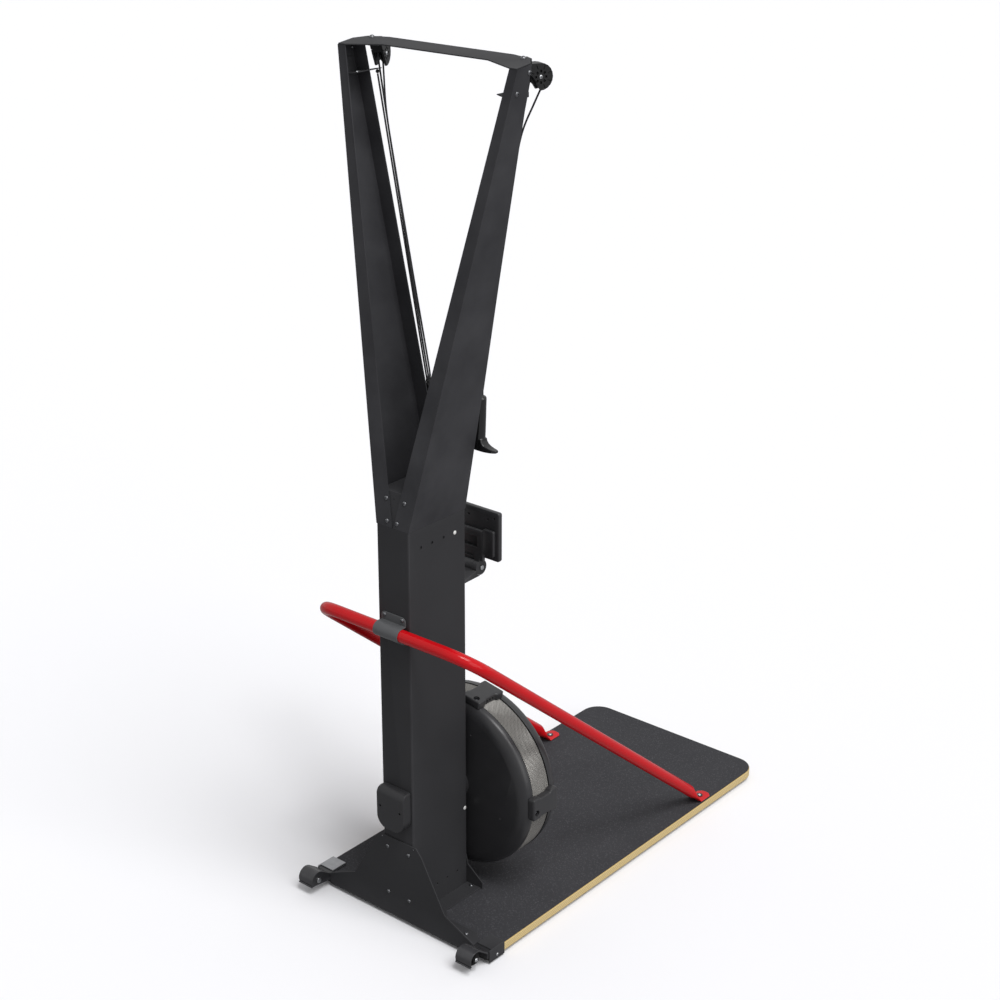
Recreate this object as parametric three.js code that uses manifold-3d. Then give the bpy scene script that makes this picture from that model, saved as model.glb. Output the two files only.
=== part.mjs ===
// A standing ski trainer with a floor board: a mast splits into two leaning arms, each with a pulley at
// its top. The pull cords turn an air flywheel in a drum at the foot of the mast, and a bent tube braces
// the mast. Millimetres, +Z up. +Y points forward to where the user stands, and +X is right as seen from
// behind. Heights are measured from the top of the board's mat, and the whole group is lifted onto the
// floor at the end.
import * as THREE from "three";
import { mergeVertices } from "three/addons/utils/BufferGeometryUtils.js";
import Module from "manifold-3d";

const wasm = await Module();
wasm.setup();

// Fits and sheet
const GAP = 0.3; // between a piece and what it rests on or is bolted to
const RUN_GAP = 1; // between a turning piece and what stands beside it
const SHEET = 3; // steel sheet of the plates, mast and arms
const CUT_PAST = 2; // how far a cutting tool runs past a face

// Board and feet
const BOARD_WIDTH = 600;
const BOARD_LENGTH = 1230.7;
const BOARD_CORNER = 57;
const BOARD_REAR_CORNER = 6;
const PLY_THICK = 22;
const MAT_THICK = 2;
const MAT_INSET = 1.5;
const FOOT_HEIGHT = 10.7;
const FOOT_RADIUS = 18;
const FOOT_INSET_X = 62;
const FOOT_INSET_FRONT = 84;
const FOOT_INSET_REAR = 90;

// Plates that carry the mast
const REAR_PLATE_INSET = 49; // in from the board's edge
const REAR_PLATE_EDGE = 8;
const REAR_PLATE_KNEE_X = 157;
const REAR_PLATE_KNEE_Z = 51;
const REAR_PLATE_SHOULDER_X = 80;
const REAR_PLATE_SHOULDER_Z = 190;
const REAR_PLATE_TOP_X = 62;
const REAR_PLATE_TOP_Z = 210;
const FOOT_STRIP_DEPTH = 47;
const FOOT_TONGUE_HALF = 97;
const FOOT_TONGUE_OVER = 12; // forward of the mast
const FOOT_CORNER = 26;
const FRONT_PLATE_HALF = 105;
const FRONT_PLATE_EDGE = 20;
const FRONT_PLATE_KNEE_X = 54;
const FRONT_PLATE_KNEE_Z = 59;
const FRONT_PLATE_TOP_X = 40;
const FRONT_PLATE_TOP_Z = 120;

// Transport wheels under hoods, which meet the floor when the machine is tipped back
const WHEEL_RADIUS = 20;
const WHEEL_WIDTH = 34;
const WHEEL_GROOVE = 4;
const WHEEL_LIFT = 20.3; // clear of the floor while the board lies on its feet
const WHEEL_BACK = 42; // axle behind the rear plate
const AXLE_RADIUS = 5;
const AXLE_CAP_RADIUS = 7.5;
const AXLE_CAP_THICK = 3;
const GUARD_INSET = 48; // inner cheek, in from the board's edge
const GUARD_WIDTH = 50;
const GUARD_CHEEK = 6;
const GUARD_NECK_DROP = 14;
const GUARD_FLANGE_LENGTH = 59;
const HOOD_RADIUS = 25;
const HOOD_WALL = 3.5;
const HOOD_FROM = 55; // degrees, from the front over the top
const HOOD_TO = 209;
const BRACKET_INSET = 45;
const BRACKET_FROM_Y = 15;
const BRACKET_SIDE_FROM_Y = 6;
const BRACKET_LENGTH = 50;
const BRACKET_SIDE_DROP = 30;

// Mast
const MAST_HALF = 52;
const MAST_DEPTH = 206.9;
const MAST_CORNER = 5;
const MAST_INNER_CORNER = 0.75;
const MAST_TOP = 1076.5;
const BOLT_HOLE_RADIUS = 4.5;
const PIN_HOLE_RADIUS = 3;
const JOINT_HOLES_Z = 1025.6;
const JOINT_HOLE_SHARES = [0.21, 0.405, 0.605, 0.81]; // of the mast's depth
const DRUM_HOLE_SHARE = 0.96;
const DRUM_HOLE_Z = 232.9;
const FOOT_HOLE_SHARES = [0.43, 0.62, 0.81];
const FOOT_HOLES_Z = 56;

// Arms, and the box that joins them to the mast
const ARM_TOP = 2174;
const ARM_TOP_HALF = 269;
const ARM_TOP_REAR = 137.8;
const ARM_TOP_FRONT = 185.9;
const ARM_REAR_FLANGE = [50, 23]; // width at the foot and at the top
const ARM_FRONT_FLANGE = [46, 42];
const JOINT_BOX_DROP = 92;
const JOINT_BOX_RISE = 88.5;
const JOINT_BOX_DEPTH = 174;

// Top cross plate, which rises slightly forwards. Insets are from the arm tops' outer face.
const CROSS_SLOPE = 0.13;
const CROSS_END_INSET = 2;
const CROSS_SHOULDER_INSET = 23;
const CROSS_MIDDLE_INSET = 111;
const CROSS_MIDDLE_BACK = 32; // forward of the arm's rear
const CROSS_EAR_INSET = 26;
const CROSS_EAR_REACH = 28; // forward of the arm's front
const CROSS_FRONT_INSET = 82;
const CROSS_FRONT_REACH = 40;
const CROSS_BOLT_INSET = 42;
const CROSS_BOLT_REACH = 23;

// Pulleys at the arm tops, toed out along the cords
const PULLEY_INSET = 32;
const PULLEY_REACH = 62; // forward of the arm's front
const PULLEY_DROP = 29.8;
const PULLEY_TOE = THREE.MathUtils.degToRad(23.8);
const HOUSING_RADIUS = 30;
const HOUSING_WIDTH = 30;
const HOUSING_REAR = 38;
const HOUSING_CAVITY = 19;
const LUG_THICK = 6;
const LUG_HALF = 12;
const LUG_PAST_BOLT = 12;
const SHEAVE_RADIUS = 21;
const SHEAVE_WIDTH = 12;
const SHEAVE_PIN_RADIUS = 5;
const CORD_RADIUS = 2.2;
const CORD_LINE_RADIUS = 19; // of the cord's centre line round the sheave
const CORD_LEAVES = THREE.MathUtils.degToRad(20); // below level, at the sheave's front
const CORD_LEAD = 6; // straight length where a strand meets the sheave

// Cord guides, square to the leaning arms
const GUIDE_DROP = 65.5;
const GUIDE_WIDTH = 43;
const GUIDE_THICK = 2.5;
const GUIDE_REACH = 37; // forward of the arm's front
const GUIDE_LEG_LENGTH = 38;
const GUIDE_LEG_HEIGHT = 36;
const STOP_RADIUS = 4.8;
const STOP_INSET = 8; // from the guide's free edge
const STOP_BACK = 8; // from its front end

// Handles, parked upright on clips in front of the arms
const HANDLE_X = 79;
const HANDLE_Y = 232;
const HANDLE_FOOT_Z = 1232;
const HANDLE_LEAN = THREE.MathUtils.degToRad(2);
const GRIP_RADIUS = 14.5;
const GRIP_NECK_RADIUS = 13.8;
const GRIP_LENGTH = 139;
const GRIP_TOP_SHARES = [[1, 0.45], [0.87, 0.13], [0.5, 0]]; // of the grip radius: wide, then down from the top
const HANDLE_FOOT_THICK = 25;
const HANDLE_FOOT_BEVEL = 2.5;
const HANDLE_FOOT_HEIGHT = 11;
const HANDLE_SWEEP = 31; // height at which the foot's outline leaves the grip
const HANDLE_HEEL = 28; // reach of the foot towards the middle
const HANDLE_BEAK = 56; // and outwards
const HANDLE_TIP = 6; // thickness of heel and beak
const HANDLE_TIP_RISE = 5;
const EYE_THICK = 6;
const EYE_WIDTH = 14;
const EYE_RISE = 12;
const EYE_HOLE_RADIUS = 4.2;
const EYE_HOLE_RISE = 4;
const EYE_TURN_RADIUS = 6.6;
const CLIP_RISE = 64; // above the handle's foot
const CLIP_HEIGHT = 26;
const CLIP_WALL = 4;
const CLIP_FROM = 180; // degrees round the grip, from the outer side over the front
const CLIP_TO = 285;
const CLIP_BASE = [-22, 8];
const CLIP_BASE_THICK = 4;
const CLIP_STEM = [-9, 3];

// Cord route inside the V and down the mast
const THROAT_X = 15;
const THROAT_RISE = [116, 90, 64]; // above the mast's top
const ARM_RUN_RISE = 170; // where the cord leaves the arm's front
const ARM_RUN_INSET = 50;
const THROAT_FRONT = 5; // clear in front of the arm flange
const THROAT_BACK = 9; // behind it
const SLACK_SHARES = [0.07, 0.16, 0.35, 0.65]; // of the way down to the handle
const SLACK_INWARD = [5, 12, 11, 6];
const SLACK_REARWARD = [14, 29, 26, 14];

// Flywheel, its drum and spools
const SHAFT_Z = 285.4;
const SHAFT_RADIUS = 10;
const SPOOL_CORE_RADIUS = 23;
const SPOOL_FLANGE_RADIUS = 34;
const SPOOL_WIDTH = 30;
const SPOOL_FLANGE = 3;
const SPOOL_SHARES = [0.34, 0.62]; // of the mast's depth, left then right
const DRUM_RADIUS = 241.3;
const DRUM_FACE_RADIUS = 206;
const DRUM_BACK_OFF = 15; // rear face forward of the mast
const DRUM_REAR_DEPTH = 27;
const DRUM_LIP = 7; // straight length of a shell's rim beside the band
const SHOULDER_STEPS = 5;
const MESH_DEPTH = 68;
const DRUM_FRONT_DEPTH = 39;
const DRUM_WALL = 3;
const DRUM_BOSS_RADIUS = 45;
const BAND_INSET = 1.3;
const HUB_RADIUS = 26;
const HUB_RISE = 8;
const INTAKE_COUNT = 8;
const INTAKE_RADIUS = 11;
const INTAKE_RING = 44;
const FAN_RADIUS = 228;
const FAN_ROOT = 120;
const FAN_DISC = 5;
const FAN_HUB_RADIUS = 32;
const FAN_HUB_WIDTH = 40;
const BLADE_COUNT = 24;
const BLADE_THICK = 2.5;
const BLADE_SIDE_GAP = 6;
const DAMPER_RADIUS = 62;
const DAMPER_THICK = 4;
const DAMPER_REACH = 118;
const DAMPER_ARM_HALF = 9;
const DRUM_CLIP_HALF = 35;
const DRUM_CLIP_RISE = 16;
const DRUM_CLIP_DRAFT = THREE.MathUtils.degToRad(1.2); // each flank's lean
const DRUM_CLIP_LENGTH = 95;
const DRUM_CLIP_BACK = 17; // behind the band's rear edge
const DRUM_CLIPS = { right: 0, top: 80, left: 180, bottom: 260 }; // degrees round the drum

// Drive cover on the rear of the mast
const COVER_HALF = 45;
const COVER_BOTTOM = 252;
const COVER_TOP = 366;
const COVER_DEPTH = 30;
const COVER_LOW_CORNER = 34;
const COVER_HIGH_CORNER = 5;
const COVER_SHOULDER = 20;
const COVER_WALL = 2.5;
const SHAFT_END_GAP = 8;

// Brace tube and its clamp
const TUBE_RADIUS = 16;
const TUBE_Z = 808.5;
const TUBE_INSET = 43; // upper corners, in from the board's edge
const TUBE_END_INSET = 25;
const TUBE_BEND = 92;
const TUBE_END_Y = 1000;
const TUBE_FLAT_LENGTH = 50;
const TUBE_CLIP = 9; // corners cut off the flattened ends
const TUBE_FLAT_HALF = 22;
const TUBE_FLAT_THICK = 5;
const TUBE_SQUASH_LENGTH = 46;
const CLAMP_HALF = 40;
const CLAMP_TOP = 850;
const CLAMP_BOTTOM = 776;
const CLAMP_CORNER = 12;

// Monitor
const CASE_HALF = 99;
const CASE_BOTTOM = 919;
const CASE_TOP = 1051;
const CASE_REAR_Y = 282;
const CASE_THICK = 14;
const CASE_CORNER = 6;
const CASE_BEVEL = 3;
const BATTERY_FROM_X = 55;
const BATTERY_TO_X = 89;
const BATTERY_FROM_Z = 933;
const BATTERY_TO_Z = 1002;
const BATTERY_DEPTH = 10;
const BATTERY_BEVEL = 1.5;
const BATTERY_CORNER = 4;
const BRACKET_HALF = 54.5;
const BRACKET_TOP = 994;
const BRACKET_THICK = 8;
const SLOT_HALF = 20;
const SLOT_SHARES = [0.08, 0.22]; // of the way up the bracket
const WINDOW_HALF = 35;
const WINDOW_SHARES = [0.41, 0.78];
const BARREL_Y = 281;
const BARREL_Z = 891.5;
const BARREL_RADIUS = 20;
const BARREL_HALF = 26;
const KNUCKLE_END = 43; // outer ends of the bracket's two knuckles
const HINGE_PIN_RADIUS = 4;
const HINGE_PIN_HEAD = 6;
const HINGE_PIN_PAST = 3;
const MONITOR_ARM_HALF = 44;
const MONITOR_FOOT_TOP = 876;
const MONITOR_FOOT_BOTTOM = 806;
const SCREEN_HALF = 74;
const SCREEN_BOTTOM = 958;
const SCREEN_TOP = 1037;
const SCREEN_THICK = 2;
const BUTTON_RADIUS = 8;
const BUTTON_RISE = 15; // above the case's lower edge
const BUTTON_PROUD = 2;
const BUTTON_DEPTH = 5;
const BUTTON_TRAVEL = 2;
const BUTTON_SIDES = 24;

// Smoothness
const ROUND_SIDES = 32;
const SMALL_SIDES = 16; // pins, axles
const MIDDLE_SIDES = 24; // feet, grips
const DRUM_SIDES = 64;
const HOLE_SIDES = 12;
const BALL_SIDES = [14, 8];
const TUBE_SIDES = 16;
const CORD_SIDES = 6;
const BEND_STEPS = 8;
const BEVEL_STEPS = 2;
const CORNER_STEPS = 5;
const WELD = 1e-3; // points closer than this are one

// Derived levels
const BOARD_BOTTOM = -(MAT_THICK + GAP + PLY_THICK);
const FLOOR_Z = BOARD_BOTTOM - GAP - FOOT_HEIGHT;
const BOARD_REAR = SHEET + GAP;
const BOARD_FRONT = BOARD_REAR + BOARD_LENGTH;
const BOARD_HALF = BOARD_WIDTH / 2;
const REAR_PLATE_HALF = BOARD_HALF - REAR_PLATE_INSET;
const MAST_REAR = SHEET + GAP;
const MAST_FRONT = MAST_REAR + MAST_DEPTH;
const PLATE_TOP = GAP + SHEET;
const MAST_FOOT = PLATE_TOP + GAP;
const ARM_FOOT = MAST_TOP + GAP;
const DRUM_REAR = MAST_FRONT + DRUM_BACK_OFF;
const BAND_REAR = DRUM_REAR + DRUM_REAR_DEPTH;
const BAND_FRONT = BAND_REAR + MESH_DEPTH;
const DRUM_FRONT = BAND_FRONT + DRUM_FRONT_DEPTH;
const WHEEL_Z = FLOOR_Z + WHEEL_LIFT + WHEEL_RADIUS;
const PULLEY_X = ARM_TOP_HALF - PULLEY_INSET;
const PULLEY_Y = ARM_TOP_FRONT + PULLEY_REACH;
const PULLEY_Z = ARM_TOP - PULLEY_DROP;
const GUIDE_Z = ARM_TOP - GUIDE_DROP;
const GUIDE_FRONT_Y = ARM_TOP_FRONT + GUIDE_REACH;
const CLIP_Z = HANDLE_FOOT_Z + CLIP_RISE;
const HALF_TURN = Math.PI;
const QUARTER_TURN = Math.PI / 2;
const FULL_TURN = Math.PI * 2;

const STEEL = { color: 0x353536, roughness: 0.5, metalness: 0.2 };
const PLASTIC = { color: 0x4a4b4e, roughness: 0.55, metalness: 0 };
const BLACK = { color: 0x141414, roughness: 0.35, metalness: 0 };
const RUBBER = { color: 0x161616, roughness: 0.9, metalness: 0 };
const BRIGHT = { color: 0xc8cacc, roughness: 0.3, metalness: 1 };
const CORD = { color: 0x3a3a3c, roughness: 0.85, metalness: 0 };

const root = new THREE.Group();

function addMesh(name, geometry, finish) {
  const mesh = new THREE.Mesh(geometry, new THREE.MeshStandardMaterial(finish));
  mesh.name = name;
  root.add(mesh);
  return mesh;
}

// Both hands of a piece: build is called with the side's name and its sign along X.
function bothSides(build) {
  build("left", -1);
  build("right", 1);
}

// Joining and cutting
function solidOf(geometry) {
  const plain = geometry.clone();
  plain.deleteAttribute("normal");
  plain.deleteAttribute("uv");
  const merged = mergeVertices(plain, WELD);
  return new wasm.Manifold(
    new wasm.Mesh({
      numProp: 3,
      vertProperties: new Float32Array(merged.attributes.position.array),
      triVerts: new Uint32Array(merged.index.array),
    }),
  );
}

function geometryOf(solid) {
  const mesh = solid.getMesh();
  const geometry = new THREE.BufferGeometry();
  geometry.setAttribute("position", new THREE.BufferAttribute(mesh.vertProperties, mesh.numProp));
  geometry.setIndex(new THREE.BufferAttribute(mesh.triVerts, 1));
  geometry.computeVertexNormals();
  return geometry;
}

function joined(...geometries) {
  return geometryOf(geometries.map(solidOf).reduce((all, next) => all.add(next)));
}

function common(one, other) {
  return geometryOf(solidOf(one).intersect(solidOf(other)));
}

function cutBy(geometry, ...tools) {
  return geometryOf(tools.map(solidOf).reduce((left, tool) => left.subtract(tool), solidOf(geometry)));
}

// Basic shapes, each given by its limits
function boxOf([x0, x1], [y0, y1], [z0, z1]) {
  const box = new THREE.BoxGeometry(x1 - x0, y1 - y0, z1 - z0);
  return box.translate((x0 + x1) / 2, (y0 + y1) / 2, (z0 + z1) / 2);
}

function rod(axis, radius, from, to, sides = ROUND_SIDES) {
  const cylinder = new THREE.CylinderGeometry(radius, radius, to - from, sides);
  cylinder.translate(0, (from + to) / 2, 0);
  if (axis === "x") cylinder.rotateZ(-QUARTER_TURN);
  if (axis === "z") cylinder.rotateX(QUARTER_TURN);
  return cylinder;
}

function polygon(points) {
  return new THREE.Shape(points.map(([a, b]) => new THREE.Vector2(a, b)));
}

function roundedRectangle([a0, a1], [b0, b1], low, high = low) {
  const shape = new THREE.Shape();
  shape.moveTo(a0 + low, b0);
  shape.lineTo(a1 - low, b0);
  shape.absarc(a1 - low, b0 + low, low, -QUARTER_TURN, 0);
  shape.lineTo(a1, b1 - high);
  shape.absarc(a1 - high, b1 - high, high, 0, QUARTER_TURN);
  shape.lineTo(a0 + high, b1);
  shape.absarc(a0 + high, b1 - high, high, QUARTER_TURN, HALF_TURN);
  shape.lineTo(a0, b0 + low);
  shape.absarc(a0 + low, b0 + low, low, HALF_TURN, HALF_TURN + QUARTER_TURN);
  return shape;
}

function extruded(shape, depth, bevel = 0) {
  const geometry = new THREE.ExtrudeGeometry(shape, {
    depth: depth - 2 * bevel,
    bevelEnabled: bevel > 0,
    bevelThickness: bevel,
    bevelSize: bevel,
    bevelOffset: -bevel,
    bevelSegments: BEVEL_STEPS,
    curveSegments: CORNER_STEPS,
  });
  return geometry.translate(0, 0, bevel);
}

// A shape drawn flat (X, Y), upright across (X, Z) or upright along (Y, Z), between two levels
function plateXY(shape, z0, z1, bevel) {
  return extruded(shape, z1 - z0, bevel).translate(0, 0, z0);
}

function plateXZ(shape, y0, y1, bevel) {
  return extruded(shape, y1 - y0, bevel).rotateX(QUARTER_TURN).translate(0, y1, 0);
}

function plateYZ(shape, x0, x1, bevel) {
  const turn = new THREE.Matrix4().makeBasis(
    new THREE.Vector3(0, 1, 0),
    new THREE.Vector3(0, 0, 1),
    new THREE.Vector3(1, 0, 0),
  );
  return extruded(shape, x1 - x0, bevel).applyMatrix4(turn).translate(x0, 0, 0);
}

// The same shape on the other hand
function mirroredX(geometry) {
  const flipped = geometry.index ? geometry.toNonIndexed() : geometry.clone();
  flipped.scale(-1, 1, 1);
  const p = flipped.attributes.position;
  for (let i = 0; i < p.count; i += 3) {
    const [x, y, z] = [p.getX(i), p.getY(i), p.getZ(i)];
    p.setXYZ(i, p.getX(i + 1), p.getY(i + 1), p.getZ(i + 1));
    p.setXYZ(i + 1, x, y, z);
  }
  flipped.computeVertexNormals();
  return flipped;
}

function handed(geometry, sign) {
  return sign > 0 ? geometry : mirroredX(geometry);
}

// A closed skin over rings of the same number of points, drawn counterclockwise seen from the last ring
function loft(rings) {
  const sides = rings[0].length;
  const positions = rings.flat().flatMap((point) => point.toArray());
  const index = [];
  for (let ring = 0; ring + 1 < rings.length; ring++) {
    for (let side = 0; side < sides; side++) {
      const next = (side + 1) % sides;
      const [a, b] = [ring * sides + side, ring * sides + next];
      index.push(a, b, b + sides, a, b + sides, a + sides);
    }
  }
  const [origin, along, across] = ringPlane(rings[0]);
  const flat = rings[0].map((point) => {
    const offset = point.clone().sub(origin);
    return new THREE.Vector2(offset.dot(along), offset.dot(across));
  });
  const last = (rings.length - 1) * sides;
  for (const [a, b, c] of THREE.ShapeUtils.triangulateShape(flat, [])) {
    index.push(a, c, b, last + a, last + b, last + c);
  }
  const geometry = new THREE.BufferGeometry();
  geometry.setAttribute("position", new THREE.Float32BufferAttribute(positions, 3));
  geometry.setIndex(index);
  geometry.computeVertexNormals();
  return geometry;
}

function ringPlane(ring) {
  const normal = new THREE.Vector3();
  for (let i = 0; i < ring.length; i++) {
    normal.add(ring[i].clone().cross(ring[(i + 1) % ring.length]));
  }
  normal.normalize();
  const along = ring[1].clone().sub(ring[0]).normalize();
  return [ring[0], along, normal.clone().cross(along)];
}

// A tube along points. Each ring is an ellipse, wide across the level direction and thick across the other.
function tubeAlong(points, sides, wide, thick = wide) {
  const rings = points.map((point, i) => {
    const before = points[Math.max(i - 1, 0)];
    const after = points[Math.min(i + 1, points.length - 1)];
    return { point, heading: after.clone().sub(before).normalize() };
  });
  let across = new THREE.Vector3(1, 0, 0);
  if (Math.abs(rings[0].heading.x) > Math.SQRT1_2) across = new THREE.Vector3(0, 1, 0);
  return loft(
    rings.map(({ point, heading }, i) => {
      across = across.clone().addScaledVector(heading, -across.dot(heading)).normalize();
      const up = heading.clone().cross(across);
      return Array.from({ length: sides }, (_, side) => {
        const angle = (FULL_TURN * side) / sides;
        return point
          .clone()
          .addScaledVector(across, Math.cos(angle) * (Array.isArray(wide) ? wide[i] : wide))
          .addScaledVector(up, Math.sin(angle) * (Array.isArray(thick) ? thick[i] : thick));
      });
    }),
  );
}

function at(x, y, z) {
  return new THREE.Vector3(x, y, z);
}

function lathe(points, sides) {
  return new THREE.LatheGeometry(points.map(([r, y]) => new THREE.Vector2(r, y)), sides);
}

function board() {
  const rear = [BOARD_REAR, BOARD_FRONT];
  const outline = roundedRectangle([-BOARD_HALF, BOARD_HALF], rear, BOARD_REAR_CORNER, BOARD_CORNER);
  const ply = plateXY(outline, BOARD_BOTTOM, -MAT_THICK - GAP);
  addMesh("base_board", ply, { color: 0xd9c48b, roughness: 0.7, metalness: 0 });
  const inner = roundedRectangle(
    [-BOARD_HALF + MAT_INSET, BOARD_HALF - MAT_INSET],
    [BOARD_REAR + MAT_INSET, BOARD_FRONT - MAT_INSET],
    BOARD_REAR_CORNER,
    BOARD_CORNER - MAT_INSET,
  );
  const mat = plateXY(inner, -MAT_THICK, 0);
  addMesh("anti_slip_mat", mat, { color: 0x47474a, roughness: 0.95, metalness: 0 });
}

function feet() {
  const rows = { front: BOARD_FRONT - FOOT_INSET_FRONT, rear: BOARD_REAR + FOOT_INSET_REAR };
  for (const [end, y] of Object.entries(rows)) {
    bothSides((side, sign) => {
      const foot = rod("z", FOOT_RADIUS, FLOOR_Z, FLOOR_Z + FOOT_HEIGHT, MIDDLE_SIDES);
      foot.translate(sign * (BOARD_HALF - FOOT_INSET_X), y, 0);
      addMesh(`rubber_foot_${end}_${side}`, foot, RUBBER);
    });
  }
}

function symmetric(half) {
  return [...half, ...half.map(([x, y]) => [-x, y]).reverse()];
}

function basePlates() {
  const rear = symmetric([
    [REAR_PLATE_HALF, BOARD_BOTTOM],
    [REAR_PLATE_HALF, REAR_PLATE_EDGE],
    [REAR_PLATE_KNEE_X, REAR_PLATE_KNEE_Z],
    [REAR_PLATE_SHOULDER_X, REAR_PLATE_SHOULDER_Z],
    [REAR_PLATE_TOP_X, REAR_PLATE_TOP_Z],
  ]);
  addMesh("base_rear_plate", plateXZ(polygon(rear), 0, SHEET), STEEL);

  const stripFront = BOARD_REAR + FOOT_STRIP_DEPTH;
  const foot = symmetric([
    [REAR_PLATE_HALF, BOARD_REAR],
    [REAR_PLATE_HALF, stripFront - FOOT_CORNER],
    [REAR_PLATE_HALF - FOOT_CORNER, stripFront],
    [FOOT_TONGUE_HALF + FOOT_CORNER, stripFront],
    [FOOT_TONGUE_HALF, stripFront + FOOT_CORNER],
    [FOOT_TONGUE_HALF, MAST_FRONT + FOOT_TONGUE_OVER],
  ]);
  addMesh("base_foot_plate", plateXY(polygon(foot), GAP, PLATE_TOP), STEEL);

  const front = symmetric([
    [FRONT_PLATE_HALF, MAST_FOOT],
    [FRONT_PLATE_HALF, FRONT_PLATE_EDGE],
    [FRONT_PLATE_KNEE_X, FRONT_PLATE_KNEE_Z],
    [FRONT_PLATE_TOP_X, FRONT_PLATE_TOP_Z],
  ]);
  const frontY = MAST_FRONT + GAP;
  addMesh("base_front_plate", plateXZ(polygon(front), frontY, frontY + SHEET), STEEL);
}

// A guard is a cheek and an open hood round the wheel, with a flange that lies on the board.
function transportWheels() {
  const inner = BOARD_HALF - GUARD_INSET;
  const cheek = inner + GUARD_CHEEK;
  const outer = inner + GUARD_WIDTH;
  const neck = BOARD_REAR - GAP;
  const [from, to] = [HOOD_FROM, HOOD_TO].map(THREE.MathUtils.degToRad);
  const hood = new THREE.Shape();
  hood.moveTo(neck, -GUARD_NECK_DROP);
  hood.lineTo(neck, PLATE_TOP);
  hood.absarc(-WHEEL_BACK, WHEEL_Z, HOOD_RADIUS, from, to);
  const space = new THREE.Shape();
  space.moveTo(neck - HOOD_WALL, FLOOR_Z);
  space.lineTo(neck - HOOD_WALL, 0);
  space.absarc(-WHEEL_BACK, WHEEL_Z, HOOD_RADIUS - HOOD_WALL, from, to);
  space.lineTo(-WHEEL_BACK - HOOD_RADIUS + HOOD_WALL, FLOOR_Z);
  const flange = boxOf(
    [inner, BOARD_HALF],
    [neck - HOOD_WALL, neck + GUARD_FLANGE_LENGTH],
    [GAP, PLATE_TOP],
  );
  const bore = rod("x", AXLE_RADIUS + GAP, inner - CUT_PAST, cheek + CUT_PAST, HOLE_SIDES);
  bore.translate(0, -WHEEL_BACK, WHEEL_Z);
  const shell = cutBy(plateYZ(hood, inner, outer), plateYZ(space, cheek, outer + CUT_PAST), bore);
  const guard = joined(shell, flange);

  const wheelInner = cheek + RUN_GAP;
  const wheelOuter = wheelInner + WHEEL_WIDTH;
  const wheel = lathe(
    [
      [AXLE_RADIUS + GAP, wheelInner],
      [WHEEL_RADIUS - WHEEL_GROOVE / 2, wheelInner],
      [WHEEL_RADIUS, wheelInner + WHEEL_GROOVE],
      [WHEEL_RADIUS, wheelOuter - WHEEL_GROOVE],
      [WHEEL_RADIUS - WHEEL_GROOVE / 2, wheelOuter],
      [AXLE_RADIUS + GAP, wheelOuter],
      [AXLE_RADIUS + GAP, wheelInner],
    ],
    ROUND_SIDES,
  );
  wheel.rotateZ(-QUARTER_TURN).translate(0, -WHEEL_BACK, WHEEL_Z);

  const [low, high] = [inner - GAP - AXLE_CAP_THICK, wheelOuter + GAP + AXLE_CAP_THICK];
  const axle = joined(
    rod("x", AXLE_RADIUS, low, high, SMALL_SIDES),
    rod("x", AXLE_CAP_RADIUS, low, inner - GAP, SMALL_SIDES),
    rod("x", AXLE_CAP_RADIUS, wheelOuter + GAP, high, SMALL_SIDES),
  ).translate(0, -WHEEL_BACK, WHEEL_Z);

  const bracketLow = PLATE_TOP + GAP;
  const sideInner = BOARD_HALF + GAP;
  const bracket = joined(
    boxOf(
      [BOARD_HALF - BRACKET_INSET, sideInner + SHEET],
      [BRACKET_FROM_Y, BRACKET_FROM_Y + BRACKET_LENGTH],
      [bracketLow, bracketLow + SHEET],
    ),
    boxOf(
      [sideInner, sideInner + SHEET],
      [BRACKET_SIDE_FROM_Y, BRACKET_FROM_Y + BRACKET_LENGTH],
      [-BRACKET_SIDE_DROP, bracketLow + SHEET],
    ),
  );

  bothSides((side, sign) => {
    addMesh(`wheel_guard_${side}`, handed(guard, sign), PLASTIC);
    addMesh(`transport_wheel_${side}`, handed(wheel, sign), RUBBER);
    addMesh(`wheel_axle_${side}`, handed(axle, sign), BRIGHT);
    addMesh(`wheel_bracket_${side}`, handed(bracket, sign), STEEL);
  });
}

function mast() {
  const outline = roundedRectangle([-MAST_HALF, MAST_HALF], [MAST_REAR, MAST_FRONT], MAST_CORNER);
  outline.holes.push(
    roundedRectangle(
      [-MAST_HALF + SHEET, MAST_HALF - SHEET],
      [MAST_REAR + SHEET, MAST_FRONT - SHEET],
      MAST_INNER_CORNER,
    ),
  );
  const through = (radius, share, z) =>
    rod("x", radius, -MAST_HALF - CUT_PAST, MAST_HALF + CUT_PAST, HOLE_SIDES)
      .translate(0, MAST_REAR + share * MAST_DEPTH, z);
  const shaftHole = rod("y", SHAFT_RADIUS + GAP, MAST_REAR - CUT_PAST, MAST_FRONT + CUT_PAST);
  addMesh(
    "mast",
    cutBy(
      plateXY(outline, MAST_FOOT, MAST_TOP),
      ...JOINT_HOLE_SHARES.map((share) => through(BOLT_HOLE_RADIUS, share, JOINT_HOLES_Z)),
      ...FOOT_HOLE_SHARES.map((share) => through(PIN_HOLE_RADIUS, share, FOOT_HOLES_Z)),
      through(BOLT_HOLE_RADIUS, DRUM_HOLE_SHARE, DRUM_HOLE_Z),
      shaftHole.translate(0, 0, SHAFT_Z),
    ),
    STEEL,
  );
}

// Where the arm's outer face and its rear and front edges lie at a height
function armShare(z) {
  return (z - MAST_TOP) / (ARM_TOP - MAST_TOP);
}

function armOuter(z) {
  return THREE.MathUtils.lerp(MAST_HALF, ARM_TOP_HALF, armShare(z));
}

function armRear(z) {
  return THREE.MathUtils.lerp(MAST_REAR, ARM_TOP_REAR, armShare(z));
}

function armFront(z) {
  return THREE.MathUtils.lerp(MAST_FRONT, ARM_TOP_FRONT, armShare(z));
}

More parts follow.
